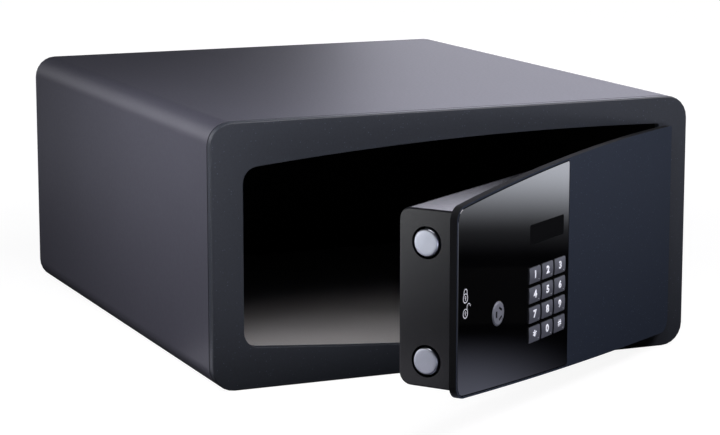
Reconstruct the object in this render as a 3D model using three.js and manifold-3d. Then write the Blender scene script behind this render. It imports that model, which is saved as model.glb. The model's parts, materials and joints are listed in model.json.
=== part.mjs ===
// A free-standing laptop safe: a wrapped steel cabinet with an arched front opening, and a
// concealed-hinge door that carries a keypad, an emergency lock and a motor-driven pair of bolts.
// Millimetres, +Z up. The origin is the centre of the cabinet's underside, the front faces -Y,
// and the door stands open at REST_ANGLE. The front face lies at y = 0 inside the safe's group.
import * as THREE from 'three';
import { mergeVertices } from 'three/addons/utils/BufferGeometryUtils.js';
import Module from 'manifold-3d';

// Cabinet
const WIDTH = 362;
const HEIGHT = 182;
const DEPTH = 412;
const EDGE_RADIUS = 16;
const SHELL_WALL = 2;
const FRAME_THICKNESS = 6;
const FRAME_EDGE_ROUND = 1;
const SEAM_WIDTH = 1.2;
const SEAM_DEPTH = 0.8;
const BACK_THICKNESS = 2;
const BACK_EDGE_ROUND = 0.8;
const ANCHOR_RADIUS = 5.5;
const ANCHOR_SPREAD_X = 240;
const ANCHOR_SPREAD_Y = 250;
const ANCHOR_RISE = 40;
const MAT_THICKNESS = 3;
const MAT_MARGIN = 2;
const MAT_HOLE_CLEARANCE = 2.5;

// Opening in the front frame: straight sides, arched top and bottom
const SIDE_BORDER = 22.8;
const TOP_BORDER = 18.3;
const TOP_ARCH_RADIUS = 2405;
const TOP_ARCH_INSET = 88;
const BOTTOM_BORDER = 7.9;
const BOTTOM_ARCH_RADIUS = 6000;
const BOTTOM_ARCH_OUTSET = 167;
const OPENING_CORNER = 11;
const HINGE_TOP_CORNER = 2;

// Door plate and its concealed pivot
const REST_ANGLE = THREE.MathUtils.degToRad(35.2);
const DOOR_GAP = 1.3;
const DOOR_THICKNESS = 5;
const PIVOT_INSET = 11;
const PIVOT_DEPTH = 11;
const SWING_CLEARANCE = 0.3;
const SEAT = 0.3;

// Hinge arms, brackets and pins
const HINGE_SPREAD = 100;
const ARM_HEIGHT = 14;
const ARM_WALL = 4.2;
const BOSS_RADIUS = 4.2;
const ARM_INNER_DEPTH = 13;
const ARM_INNER_REACH = 16.8;
const FOOT_LENGTH = 21;
const FOOT_THICKNESS = 3;
const PIN_RADIUS = 2.45;
const PIN_CLEARANCE = 0.15;
const PIN_HEAD_RADIUS = 4;
const PIN_HEAD_HEIGHT = 2;
const BRACKET_WALL = 2.4;
const BRACKET_EAR = 3;
const BRACKET_REACH = 16;
const BRACKET_DEPTH = 12;
const EAR_CLEARANCE = 0.4;

// Gloss control panel
const PANEL_RIM = 1.6;
const PANEL_WIDTH = 150.2;
const PANEL_THICKNESS = 2;
const PANEL_CORNER = 1.5;
const PANEL_EDGE_BEVEL = 0.4;

// Keypad
const KEY_LEGENDS = ['1', '2', '3', '4', '5', '6', '7', '8', '9', 'star', '0', 'hash'];
const KEY_COLUMNS = 3;
const KEY_WIDTH = 15.5;
const KEY_HEIGHT = 10.5;
const KEY_PITCH_X = 17.7;
const KEY_PITCH_Z = 13;
const KEY_CORNER = 0.9;
const KEY_EDGE_PROUD = 0.6;
const KEY_CROWN_PROUD = 1;
const KEY_GAP = 0.25;
const KEY_FLANGE = 0.7;
const KEY_FLANGE_THICKNESS = 0.8;
const KEY_TRAVEL = 1.2;
const KEYPAD_INSET = 31.6;
const KEYPAD_DROP = 19.4;
const KEY_WINDOW_MARGIN = 3.2;
const MAT_SHEET = 1.7;
const DOME_WIDTH = 8;
const DOME_HEIGHT = 6;
const DOME_CLEARANCE = 0.1;

// Display
const DISPLAY_WIDTH = 48;
const DISPLAY_HEIGHT = 13;
const DISPLAY_RISE = 26.7;
const DISPLAY_CORNER = 1.4;
const DISPLAY_GLASS = 1;
const DISPLAY_LEDGE = 2;
const MODULE_WIDTH = 46;
const MODULE_HEIGHT = 17;
const MODULE_BEZEL = 2.5;
const MODULE_RECESS = 0.8;

// Circuit board and its studs
const BOARD_DEPTH = 7.2;
const BOARD_THICKNESS = 1.6;
const BOARD_MARGIN_FREE = 8;
const BOARD_MARGIN_HINGE = 14;
const BOARD_MARGIN_Z = 3;
const STUD_RADIUS = 2.2;
const STUD_INSET = 4;
const CHIP_WIDTH = 14;
const CHIP_HEIGHT = 10;
const CHIP_THICKNESS = 1.6;
const SOCKET_WIDTH = 12;
const SOCKET_HEIGHT = 6;
const SOCKET_THICKNESS = 5;
const BUZZER_RADIUS = 5;
const BUZZER_THICKNESS = 4;

// Lock box on the back of the door
const BOX_INSET = 5.9;
const BOX_HINGE_INSET = 38.9;
const BOX_DEPTH = 44;
const BOX_HEIGHT = 112.4;
const BOX_DROP = 0.6;
const BOX_WALL = 1.5;
const BOX_BEND = 8;
const BOX_END_ROUND = 1.2;
const POST_RADIUS = 3.5;
const POST_FREE_INSET = 8;
const POST_HINGE_INSET = 10;
const POST_FREE_SPREAD = 26;
const POST_HINGE_SPREAD = 76;
const SCREW_RADIUS = 1.5;
const SCREW_CLEARANCE = 0.15;
const SCREW_LENGTH = 9;
const SCREW_HEAD_RADIUS = 3.5;
const SCREW_HEAD_HEIGHT = 2;
const SCREW_RECESS_RADIUS = 1.25;
const SCREW_RECESS_DEPTH = 1.2;

// Boltwork
const BOLT_RADIUS = 8.7;
const BOLT_CHAMFER = 1;
const BOLT_PROUD = 1;
const BOLT_LENGTH = 64;
const BOLT_DEPTH = 24.5;
const BOLT_SPREAD = 74.6;
const BOLT_DROP = 2.8;
const BOLT_HOLE_CLEARANCE = 1.6;
const BOLT_STUD_RADIUS = 3;
const BOLT_STUD_INSET = 7;
const BOLT_TRAVEL = 20;
const CARRIAGE_DEPTH = 34;
const CARRIAGE_THICKNESS = 2.5;
const CARRIAGE_WIDTH = 16;
const CARRIAGE_MARGIN = 10;
const RACK_DEPTH = 27;
const RACK_HALF_PITCH = 4;
const RACK_OVERHANG = 7;
const GUIDE_INSET = 25;
const GUIDE_WALL = 2;
const GUIDE_FOOT = 16;
const GUIDE_DEPTH = 34.7;
const GUIDE_MARGIN = 3;
const GUIDE_BOLT_CLEARANCE = 0.3;
const GUIDE_WINDOW_HEIGHT = 44;
const GUIDE_WINDOW_DEPTH = 11;
const STRIKE_WALL = 2;
const STRIKE_SETBACK = 1.8;
const STRIKE_WALL_GAP = 2;
const STRIKE_HEIGHT = 114;
const STRIKE_DEPTH = 36;
const STRIKE_HOLE_CLEARANCE = 1.1;

// Gears
const GEAR_MODULE = 1;
const PRESSURE_ANGLE = THREE.MathUtils.degToRad(25);
const ADDENDUM = 0.9;
const DEDENDUM = 1.2;
const BACKLASH = 0.24;
const MESH_CLEARANCE = 0.08;
const ROTOR_TEETH = 24;
const PINION_TEETH = 14;
const GEAR_WIDTH = 4.5;

// Emergency lock
const ROTOR_INSET = 52.3;
const ROTOR_DROP = 16.3;
const ROTOR_RADIUS = 7.9;
const ROTOR_PROUD = 0.9;
const ROTOR_RIM_ROUND = 0.6;
const ROTOR_GAP = 0.4;
const SPINDLE_RADIUS = 4;
const SPINDLE_CLEARANCE = 0.25;
const SLOT_COUNT = 3;
const SLOT_RADIUS = 3.6;
const SLOT_LENGTH = 3.8;
const SLOT_WIDTH = 1.1;
const SLOT_DEPTH = 1.4;
const BARREL_RADIUS = 9;
const BARREL_FLANGE_RADIUS = 12;
const BARREL_FLANGE = 2;
const BARREL_NECK_RADIUS = 8.5;
const BARREL_DEPTH = 22;

// Motor
const PINION_OFFSET = 31;
const GEARBOX_WIDTH = 24;
const GEARBOX_HEIGHT = 23;
const GEARBOX_FRONT = 9.6;
const GEARBOX_BACK = 26;
const GEARBOX_FOOT = 8;
const MOTOR_RADIUS = 8;
const MOTOR_LENGTH = 30;
const MOTOR_CAP_RADIUS = 3;
const MOTOR_CAP_LENGTH = 2;
const SHAFT_RADIUS = 2;
const SHAFT_DEPTH = 4;

// Batteries
const CELL_COUNT = 4;
const CELL_RADIUS = 7;
const CELL_LENGTH = 49;
const NUB_RADIUS = 2.6;
const NUB_LENGTH = 1.3;
const CELL_GAP = 0.4;
const CONTACT_THICKNESS = 1;
const CONTACT_GAP = 0.4;
const HOLDER_WALL = 1.5;
const HOLDER_INSET = 28;
const WINDOW_LEDGE = 3;
const COVER_MARGIN = 4;
const COVER_THICKNESS = 2;
const COVER_TRAVEL = 10;
const GRIP_COUNT = 4;
const GRIP_WIDTH = 1.2;
const GRIP_PITCH = 3.4;
const GRIP_HEIGHT = 1;
const GRIP_LENGTH = 26;
const RAIL_WALL = 1.4;
const RAIL_LIP = 2.2;
const RAIL_GAP = 0.4;

// Facets
const CORNER_STEPS = 6;
const ARCH_STEPS = 14;
const ROUND_STEPS = 28;
const KEY_CORNER_STEPS = 2;
const SMALL_STEPS = 16;
const HEXAGON = 6;
const OVERRUN = 1;
const WELD_TOLERANCE = 1e-4;

// Places that several pieces share
const MID_Z = HEIGHT / 2;
const OPENING_LEFT = SIDE_BORDER - WIDTH / 2;
const OPENING_RIGHT = WIDTH / 2 - SIDE_BORDER;
const DOOR_LEFT = OPENING_LEFT + DOOR_GAP;
const DOOR_RIGHT = OPENING_RIGHT - DOOR_GAP;
const DOOR_BACK = DOOR_THICKNESS;
const PIVOT_X = WIDTH / 2 - PIVOT_INSET;
const PANEL_LEFT = DOOR_LEFT + PANEL_RIM;
const PANEL_RIGHT = PANEL_LEFT + PANEL_WIDTH;
const POCKET_DEPTH = PANEL_THICKNESS + SEAT;
const KEYPAD_X = PANEL_RIGHT - KEYPAD_INSET;
const KEYPAD_Z = MID_Z - KEYPAD_DROP;
const KEY_ROWS = KEY_LEGENDS.length / KEY_COLUMNS;
const DISPLAY_Z = MID_Z + DISPLAY_RISE;
const ROTOR_X = PANEL_LEFT + ROTOR_INSET;
const ROTOR_Z = MID_Z - ROTOR_DROP;
const BOX_LEFT = DOOR_LEFT + BOX_INSET;
const BOX_RIGHT = DOOR_RIGHT - BOX_HINGE_INSET;
const BOX_FRONT = DOOR_BACK + SEAT;
const BOX_MID_Z = MID_Z - BOX_DROP;
const BOLT_LEFT = BOX_LEFT - BOLT_PROUD;
const BOLT_RIGHT = BOLT_LEFT + BOLT_LENGTH;
const BOLT_MID_Z = MID_Z - BOLT_DROP;
const STUD_X = BOLT_RIGHT - BOLT_STUD_INSET;
const ROTOR_PITCH = ROTOR_TEETH * GEAR_MODULE / 2;
const PINION_PITCH = PINION_TEETH * GEAR_MODULE / 2;
const RACK_Z = ROTOR_Z + ROTOR_PITCH + MESH_CLEARANCE + RACK_HALF_PITCH;
const PINION_X = ROTOR_X + PINION_OFFSET;
const PINION_Z = RACK_Z + RACK_HALF_PITCH + MESH_CLEARANCE + PINION_PITCH;
const HOLDER_WIDTH = CELL_COUNT * (2 * CELL_RADIUS + CELL_GAP) + CELL_GAP + 2 * HOLDER_WALL;
const HOLDER_INNER_HEIGHT = CELL_LENGTH + NUB_LENGTH + 2 * (CONTACT_THICKNESS + CONTACT_GAP + SEAT);
const HOLDER_HEIGHT = HOLDER_INNER_HEIGHT + 2 * HOLDER_WALL;
const HOLDER_BACK = BOX_DEPTH - BOX_WALL - SEAT;
const HOLDER_FRONT = HOLDER_BACK - 2 * CELL_RADIUS - 2 * CELL_GAP - HOLDER_WALL;
const HOLDER_X = BOX_RIGHT - BOX_WALL - HOLDER_INSET - HOLDER_WIDTH / 2;

const wasm = await Module();
wasm.setup();

// Solids

function toSolid(geometry) {
  const bare = geometry.clone();
  bare.deleteAttribute('normal');
  bare.deleteAttribute('uv');
  const welded = mergeVertices(bare, WELD_TOLERANCE);
  return new wasm.Manifold(new wasm.Mesh({
    numProp: 3,
    vertProperties: new Float32Array(welded.attributes.position.array),
    triVerts: new Uint32Array(welded.index.array),
  }));
}

function toGeometry(solid) {
  const mesh = solid.getMesh();
  const geometry = new THREE.BufferGeometry();
  geometry.setAttribute('position', new THREE.BufferAttribute(mesh.vertProperties, 3));
  geometry.setIndex(new THREE.BufferAttribute(mesh.triVerts, 1));
  return geometry;
}

function join(...geometries) {
  return toGeometry(geometries.map(toSolid).reduce((whole, piece) => whole.add(piece)));
}

function cut(geometry, ...tools) {
  return toGeometry(tools.map(toSolid).reduce((whole, tool) => whole.subtract(tool), toSolid(geometry)));
}

function keep(geometry, tool) {
  return toGeometry(toSolid(geometry).intersect(toSolid(tool)));
}

// Outlines

function arcPoints(x, y, radius, start, end, steps) {
  return Array.from({ length: steps + 1 }, (_, i) => {
    const angle = start + (end - start) * i / steps;
    return new THREE.Vector2(x + radius * Math.cos(angle), y + radius * Math.sin(angle));
  });
}

function circle(radius, steps = ROUND_STEPS) {
  return new THREE.Shape(arcPoints(0, 0, radius, 0, 2 * Math.PI, steps).slice(0, -1));
}

function roundedRectangle(width, height, radius, steps = CORNER_STEPS) {
  const x = width / 2 - radius;
  const y = height / 2 - radius;
  const quarter = Math.PI / 2;
  return new THREE.Shape([
    ...arcPoints(x, y, radius, 0, quarter, steps),
    ...arcPoints(-x, y, radius, quarter, 2 * quarter, steps),
    ...arcPoints(-x, -y, radius, 2 * quarter, 3 * quarter, steps),
    ...arcPoints(x, -y, radius, 3 * quarter, 4 * quarter, steps),
  ]);
}

// The opening, the door and the control panel share this outline. A corner is an arc that
// touches the straight side and, from inside, the large arch above or below it.
function archedOutline(left, right, inset, corners) {
  const top = {
    x: WIDTH / 2 - TOP_ARCH_INSET,
    z: HEIGHT - TOP_BORDER - TOP_ARCH_RADIUS,
    radius: TOP_ARCH_RADIUS - inset,
    up: 1,
  };
  const bottom = {
    x: WIDTH / 2 + BOTTOM_ARCH_OUTSET,
    z: BOTTOM_BORDER + BOTTOM_ARCH_RADIUS,
    radius: BOTTOM_ARCH_RADIUS - inset,
    up: -1,
  };
  const corner = (arch, side, edge, radius) => {
    const x = edge - side * radius;
    const z = arch.z + arch.up * Math.sqrt((arch.radius - radius) ** 2 - (x - arch.x) ** 2);
    return { x, z, radius, angle: Math.atan2(z - arch.z, x - arch.x) };
  };
  const bottomLeft = corner(bottom, -1, left, corners.bottomLeft);
  const bottomRight = corner(bottom, 1, right, corners.bottomRight);
  const topRight = corner(top, 1, right, corners.topRight);
  const topLeft = corner(top, -1, left, corners.topLeft);
  const fillet = (c, start, end) => arcPoints(c.x, c.z, c.radius, start, end, CORNER_STEPS);
  const arch = (a, start, end) =>
    arcPoints(a.x, a.z, a.radius, start, end, ARCH_STEPS).slice(1, -1);
  return new THREE.Shape([
    ...fillet(bottomLeft, Math.PI, bottomLeft.angle + 2 * Math.PI),
    ...arch(bottom, bottomLeft.angle, bottomRight.angle),
    ...fillet(bottomRight, bottomRight.angle, 0),
    ...fillet(topRight, 0, topRight.angle),
    ...arch(top, topRight.angle, topLeft.angle),
    ...fillet(topLeft, topLeft.angle, Math.PI),
  ]);
}

function doorOutline(inset) {
  const corner = OPENING_CORNER - inset;
  return archedOutline(OPENING_LEFT + inset, OPENING_RIGHT - inset, inset, {
    bottomLeft: corner,
    bottomRight: corner,
    topRight: HINGE_TOP_CORNER - Math.min(inset, HINGE_TOP_CORNER / 2),
    topLeft: corner,
  });
}

function panelOutline(inset) {
  const corner = OPENING_CORNER - DOOR_GAP - PANEL_RIM - inset;
  return archedOutline(PANEL_LEFT + inset, PANEL_RIGHT - inset, DOOR_GAP + PANEL_RIM + inset, {
    bottomLeft: corner,
    bottomRight: PANEL_CORNER - inset,
    topRight: PANEL_CORNER - inset,
    topLeft: corner,
  });
}

// An involute spur gear, with its first tooth centred on +Y of the outline
function gearOutline(teeth) {
  const pitch = teeth * GEAR_MODULE / 2;
  const base = pitch * Math.cos(PRESSURE_ANGLE);
  const tip = pitch + ADDENDUM * GEAR_MODULE;
  const root = pitch - DEDENDUM * GEAR_MODULE;
  const involute = (angle) => Math.tan(angle) - angle;
  const halfTooth = (radius) => {
    const flank = Math.max(radius, base);
    const atPitch = (Math.PI * GEAR_MODULE - BACKLASH) / (4 * pitch);
    return atPitch + involute(PRESSURE_ANGLE) - involute(Math.acos(base / flank));
  };
  const flankStart = Math.max(root, base);
  const flankRadii = [root, ...[0, 1, 2, 3].map((i) => flankStart + (tip - flankStart) * i / 3)]
    .filter((radius, i) => i !== 1 || radius - root > WELD_TOLERANCE);
  const point = (radius, angle) =>
    new THREE.Vector2(radius * Math.cos(angle), radius * Math.sin(angle));
  const points = [];
  for (let i = 0; i < teeth; i += 1) {
    const centre = Math.PI / 2 + 2 * Math.PI * i / teeth;
    for (const radius of flankRadii) points.push(point(radius, centre - halfTooth(radius)));
    for (const radius of flankRadii.toReversed()) points.push(point(radius, centre + halfTooth(radius)));
  }
  return new THREE.Shape(points);
}

// One toothed side of a rack, read towards +X. `up` is 1 for teeth that point up.
function rackSide(toothX, from, to, pitchY, up) {
  const pitch = Math.PI * GEAR_MODULE;
  const slope = Math.tan(PRESSURE_ANGLE);
  const halfPitch = (pitch - BACKLASH) / 4;
  const halfTip = halfPitch - ADDENDUM * GEAR_MODULE * slope;
  const halfRoot = halfPitch + DEDENDUM * GEAR_MODULE * slope;
  const tipY = pitchY + up * ADDENDUM * GEAR_MODULE;
  const rootY = pitchY - up * DEDENDUM * GEAR_MODULE;
  const first = Math.ceil((from + halfRoot - toothX) / pitch);
  const last = Math.floor((to - halfRoot - toothX) / pitch);
  const points = [new THREE.Vector2(from, rootY)];
  for (let i = first; i <= last; i += 1) {
    const x = toothX + i * pitch;
    points.push(
      new THREE.Vector2(x - halfRoot, rootY), new THREE.Vector2(x - halfTip, tipY),
      new THREE.Vector2(x + halfTip, tipY), new THREE.Vector2(x + halfRoot, rootY),
    );
  }
  points.push(new THREE.Vector2(to, rootY));
  return points;
}

// Extrusions that span `from` to `to` along one axis: (y, z) outlines run along x,
// (x, z) outlines along y and (x, y) outlines along z.
const UNIT_X = new THREE.Vector3(1, 0, 0);
const UNIT_Y = new THREE.Vector3(0, 1, 0);
const UNIT_Z = new THREE.Vector3(0, 0, 1);

function extrude(outline, depth, bevel = 0, bevelSteps = 3) {
  return new THREE.ExtrudeGeometry(outline, {
    depth: depth - 2 * bevel,
    steps: 1,
    curveSegments: SMALL_STEPS,
    bevelEnabled: bevel > 0,
    bevelThickness: bevel,
    bevelSize: bevel,
    bevelOffset: -bevel,
    bevelSegments: bevelSteps,
  }).translate(0, 0, bevel);
}

function alongX(outline, from, to, bevel, bevelSteps) {
  const turn = new THREE.Matrix4().makeBasis(UNIT_Y, UNIT_Z, UNIT_X);
  return extrude(outline, to - from, bevel, bevelSteps).applyMatrix4(turn).translate(from, 0, 0);
}

function alongY(outline, from, to, bevel, bevelSteps) {
  const turn = new THREE.Matrix4().makeBasis(UNIT_X, UNIT_Z, UNIT_Y.clone().negate());
  return extrude(outline, to - from, bevel, bevelSteps).applyMatrix4(turn).translate(0, to, 0);
}

function alongZ(outline, from, to, bevel, bevelSteps) {
  return extrude(outline, to - from, bevel, bevelSteps).translate(0, 0, from);
}

function block(x0, x1, y0, y1, z0, z1) {
  return new THREE.BoxGeometry(x1 - x0, y1 - y0, z1 - z0)
    .translate((x0 + x1) / 2, (y0 + y1) / 2, (z0 + z1) / 2);
}

// A turned part: the profile lists radius and length from one end on the axis to the other
function turned(profile, steps = ROUND_STEPS) {
  return new THREE.LatheGeometry(profile.map(([r, l]) => new THREE.Vector2(r, l)), steps);
}

// Turned parts and rods lie along +Y as made; these stand or lay them on another axis
const layAlongX = (geometry) => geometry.rotateZ(-Math.PI / 2);
const standAlongZ = (geometry) => geometry.rotateX(Math.PI / 2);

function rod(radius, from, to, steps = ROUND_STEPS) {
  return alongY(circle(radius, steps), from, to);
}

// Finishes
const finish = (color, roughness, metalness) =>
  () => new THREE.MeshStandardMaterial({ color, roughness, metalness });
const satinPaint = finish(0x45464e, 0.45, 0.2);
const texturedPaint = finish(0x30343c, 0.6, 0.2);
const glossPanel = finish(0x0a0a0c, 0.08, 0);
const darkGlass = finish(0x0f0f12, 0.04, 0);
const keyPlastic = finish(0x5d5f69, 0.4, 0.1);
const greyPlastic = finish(0x7c7e88, 0.4, 0.1);
const blackPlastic = finish(0x17171a, 0.5, 0);
const rubber = finish(0x1c1c1e, 0.8, 0);
const felt = finish(0x8d8a85, 0.95, 0);
const steel = finish(0xc3c6d0, 0.3, 0.9);
const zincPlate = finish(0xa9adb2, 0.4, 0.8);
const brass = finish(0xb99a5a, 0.35, 0.9);
const boardGreen = finish(0x1f5a3a, 0.5, 0);
const cellWrap = finish(0x35507a, 0.4, 0.2);

function part(name, geometry, material, x = 0, y = 0, z = 0) {
  geometry.computeVertexNormals();
  const mesh = new THREE.Mesh(geometry, material());
  mesh.name = name;
  mesh.position.set(x, y, z);
  return mesh;
}

// Cabinet

function cabinetOutline(inset) {
  const outline = roundedRectangle(WIDTH - 2 * inset, HEIGHT - 2 * inset, EDGE_RADIUS - inset);
  return new THREE.Shape(outline.getPoints().map((p) => new THREE.Vector2(p.x, p.y + MID_Z)));
}

const SHELL_BACK = DEPTH - BACK_THICKNESS;

function floorAnchors(radius) {
  return [-1, 1].flatMap((side) => [-1, 1].map((end) =>
    alongZ(circle(radius, SMALL_STEPS), -OVERRUN, SHELL_WALL + MAT_THICKNESS + OVERRUN)
      .translate(side * ANCHOR_SPREAD_X / 2, (DEPTH + end * ANCHOR_SPREAD_Y) / 2, 0)));
}

function bodyShell() {
  const neckBack = FRAME_THICKNESS + SEAM_WIDTH;
  const outer = join(
    alongY(cabinetOutline(SEAM_DEPTH), FRAME_THICKNESS, neckBack + OVERRUN),
    alongY(cabinetOutline(0), neckBack, SHELL_BACK),
  );
  const cavity = alongY(cabinetOutline(SHELL_WALL), FRAME_THICKNESS - OVERRUN, SHELL_BACK + OVERRUN);
  return cut(outer, cavity, ...floorAnchors(ANCHOR_RADIUS));
}

function backPanel() {
  const sheet = alongY(cabinetOutline(0), SHELL_BACK - BACK_THICKNESS, DEPTH, BACK_EDGE_ROUND, 2);
  const behindShell = block(
    -WIDTH, WIDTH, SHELL_BACK, DEPTH + OVERRUN, -OVERRUN, HEIGHT + OVERRUN,
  );
  const anchors = [-1, 1].map((side) =>
    rod(ANCHOR_RADIUS, SHELL_BACK - OVERRUN, DEPTH + OVERRUN, SMALL_STEPS)
      .translate(side * ANCHOR_SPREAD_X / 2, 0, MID_Z + ANCHOR_RISE));
  return cut(keep(sheet, behindShell), ...anchors);
}

function frontFrame() {
  const blank = alongY(cabinetOutline(0), 0, 2 * FRAME_THICKNESS, FRAME_EDGE_ROUND);
  const plate = keep(blank, block(-WIDTH, WIDTH, -OVERRUN, FRAME_THICKNESS, -OVERRUN, HEIGHT + OVERRUN));
  return cut(plate, alongY(doorOutline(0), -OVERRUN, FRAME_THICKNESS + OVERRUN));
}

function floorMat() {
  const halfWidth = WIDTH / 2 - EDGE_RADIUS - MAT_MARGIN;
  const outline = new THREE.Shape(
    roundedRectangle(2 * halfWidth, SHELL_BACK - FRAME_THICKNESS - 2 * MAT_MARGIN, MAT_MARGIN)
      .getPoints()
      .map((p) => new THREE.Vector2(p.x, p.y + (SHELL_BACK + FRAME_THICKNESS) / 2)),
  );
  return cut(
    alongZ(outline, SHELL_WALL, SHELL_WALL + MAT_THICKNESS),
    ...floorAnchors(ANCHOR_RADIUS + MAT_HOLE_CLEARANCE),
  );
}

// A folded angle behind the free-side border, with a hole for each bolt
const STRIKE_X = OPENING_LEFT - STRIKE_SETBACK;

function strikePlate() {
  const wallX = SHELL_WALL + STRIKE_WALL_GAP - WIDTH / 2;
  const flangeBack = FRAME_THICKNESS + STRIKE_WALL;
  const back = FRAME_THICKNESS + STRIKE_DEPTH;
  const outline = new THREE.Shape([
    new THREE.Vector2(wallX, FRAME_THICKNESS), new THREE.Vector2(STRIKE_X, FRAME_THICKNESS),
    new THREE.Vector2(STRIKE_X, back), new THREE.Vector2(STRIKE_X - STRIKE_WALL, back),
    new THREE.Vector2(STRIKE_X - STRIKE_WALL, flangeBack), new THREE.Vector2(wallX, flangeBack),
  ]);
  const angle = alongZ(outline, MID_Z - STRIKE_HEIGHT / 2, MID_Z + STRIKE_HEIGHT / 2);
  const holes = [-1, 1].map((end) =>
    alongX(
      circle(BOLT_RADIUS + STRIKE_HOLE_CLEARANCE),
      STRIKE_X - STRIKE_WALL - OVERRUN,
      STRIKE_X + OVERRUN,
    ).translate(0, BOLT_DEPTH, BOLT_MID_Z + end * BOLT_SPREAD / 2));
  return cut(angle, ...holes);
}

// Hinge pieces are made about the pivot axis, at mid-height of the arm

const EAR_INNER_Z = ARM_HEIGHT / 2 + EAR_CLEARANCE;
const EAR_OUTER_Z = EAR_INNER_Z + BRACKET_EAR;
const WALL_REACH = PIVOT_INSET - SHELL_WALL;
const FRAME_REACH = PIVOT_DEPTH - FRAME_THICKNESS;

function hingeBracket() {
  const left = WALL_REACH - BRACKET_REACH;
  const channel = new THREE.Shape([
    new THREE.Vector2(left, -EAR_OUTER_Z), new THREE.Vector2(WALL_REACH, -EAR_OUTER_Z),
    new THREE.Vector2(WALL_REACH, EAR_OUTER_Z), new THREE.Vector2(left, EAR_OUTER_Z),
    new THREE.Vector2(left, EAR_INNER_Z), new THREE.Vector2(WALL_REACH - BRACKET_WALL, EAR_INNER_Z),
    new THREE.Vector2(WALL_REACH - BRACKET_WALL, -EAR_INNER_Z), new THREE.Vector2(left, -EAR_INNER_Z),
  ]);
  const pinHole = alongZ(circle(PIN_RADIUS + PIN_CLEARANCE), -EAR_OUTER_Z - OVERRUN, EAR_OUTER_Z + OVERRUN);
  return cut(alongY(channel, -FRAME_REACH, BRACKET_DEPTH - FRAME_REACH), pinHole);
}

function hingePin() {
  const tip = -EAR_OUTER_Z - PIN_HEAD_HEIGHT / 2;
  const seat = EAR_OUTER_Z + PIN_CLEARANCE;
  const chamfer = PIN_CLEARANCE * 2;
  return standAlongZ(turned([
    [0, tip], [PIN_RADIUS - chamfer, tip], [PIN_RADIUS, tip + chamfer], [PIN_RADIUS, seat],
    [PIN_HEAD_RADIUS, seat], [PIN_HEAD_RADIUS, seat + PIN_HEAD_HEIGHT - chamfer],
    [PIN_HEAD_RADIUS - chamfer, seat + PIN_HEAD_HEIGHT], [0, seat + PIN_HEAD_HEIGHT],
  ]));
}

// The swan-neck arm reaches from the door's back, round the edge of the frame, to the pin
function hingeArm() {
  const outerX = -ARM_INNER_REACH - ARM_WALL;
  const outerY = ARM_INNER_DEPTH + ARM_WALL;
  const footY = BOX_FRONT - PIVOT_DEPTH;
  const bend = ARM_WALL;
  const quarter = Math.PI / 2;
  const outline = new THREE.Shape([
    ...arcPoints(0, 0, BOSS_RADIUS, 2 * quarter, 4 * quarter, 2 * CORNER_STEPS),
    ...arcPoints(BOSS_RADIUS - bend, outerY - bend, bend, 0, quarter, CORNER_STEPS),
    ...arcPoints(outerX + bend, outerY - bend, bend, quarter, 2 * quarter, CORNER_STEPS),
    new THREE.Vector2(outerX, footY + FOOT_THICKNESS),
    new THREE.Vector2(outerX - FOOT_LENGTH, footY + FOOT_THICKNESS),
    new THREE.Vector2(outerX - FOOT_LENGTH, footY),
    new THREE.Vector2(-ARM_INNER_REACH, footY),
    new THREE.Vector2(-ARM_INNER_REACH, ARM_INNER_DEPTH),
    new THREE.Vector2(-BOSS_RADIUS, ARM_INNER_DEPTH),
  ]);
  outline.holes.push(circle(PIN_RADIUS + PIN_CLEARANCE, ROUND_STEPS));
  return alongZ(outline, -ARM_HEIGHT / 2, ARM_HEIGHT / 2);
}

// Door

const keyPlaces = KEY_LEGENDS.map((legend, i) => ({
  legend,
  x: KEYPAD_X + (i % KEY_COLUMNS - (KEY_COLUMNS - 1) / 2) * KEY_PITCH_X,
  z: KEYPAD_Z + ((KEY_ROWS - 1) / 2 - Math.floor(i / KEY_COLUMNS)) * KEY_PITCH_Z,
}));

const WINDOW_HALF = KEY_PITCH_X * (KEY_COLUMNS - 1) / 2 + KEY_WIDTH / 2 + KEY_WINDOW_MARGIN;
const WINDOW_LEFT = KEYPAD_X - WINDOW_HALF;
const WINDOW_RIGHT = KEYPAD_X + WINDOW_HALF;
const WINDOW_BOTTOM = KEYPAD_Z - KEY_PITCH_Z * (KEY_ROWS - 1) / 2 - KEY_HEIGHT / 2 - KEY_WINDOW_MARGIN;
const WINDOW_TOP = DISPLAY_Z + MODULE_HEIGHT / 2 + SEAT;
const BOARD_LEFT = WINDOW_LEFT - BOARD_MARGIN_FREE;
const BOARD_RIGHT = WINDOW_RIGHT + BOARD_MARGIN_HINGE;
const BOARD_BOTTOM = WINDOW_BOTTOM - BOARD_MARGIN_Z;
const BOARD_TOP = WINDOW_TOP + BOARD_MARGIN_Z;

const boardStuds = [BOARD_LEFT + STUD_INSET, BOARD_RIGHT - STUD_INSET].flatMap((x) =>
  [BOARD_BOTTOM + STUD_INSET, BOARD_TOP - STUD_INSET].map((z) => ({ x, z })));

const coverPosts = [
  ...[-1, 1].map((end) => ({
    x: BOX_LEFT + POST_FREE_INSET,
    z: BOLT_MID_Z + end * POST_FREE_SPREAD / 2,
  })),
  ...[-1, 1].map((end) => ({
    x: BOX_RIGHT - POST_HINGE_INSET,
    z: BOX_MID_Z + end * POST_HINGE_SPREAD / 2,
  })),
];

const POST_BACK = BOX_DEPTH - BOX_WALL - SEAT;
const SCREW_SEAT = BOX_DEPTH + SEAT;

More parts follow.
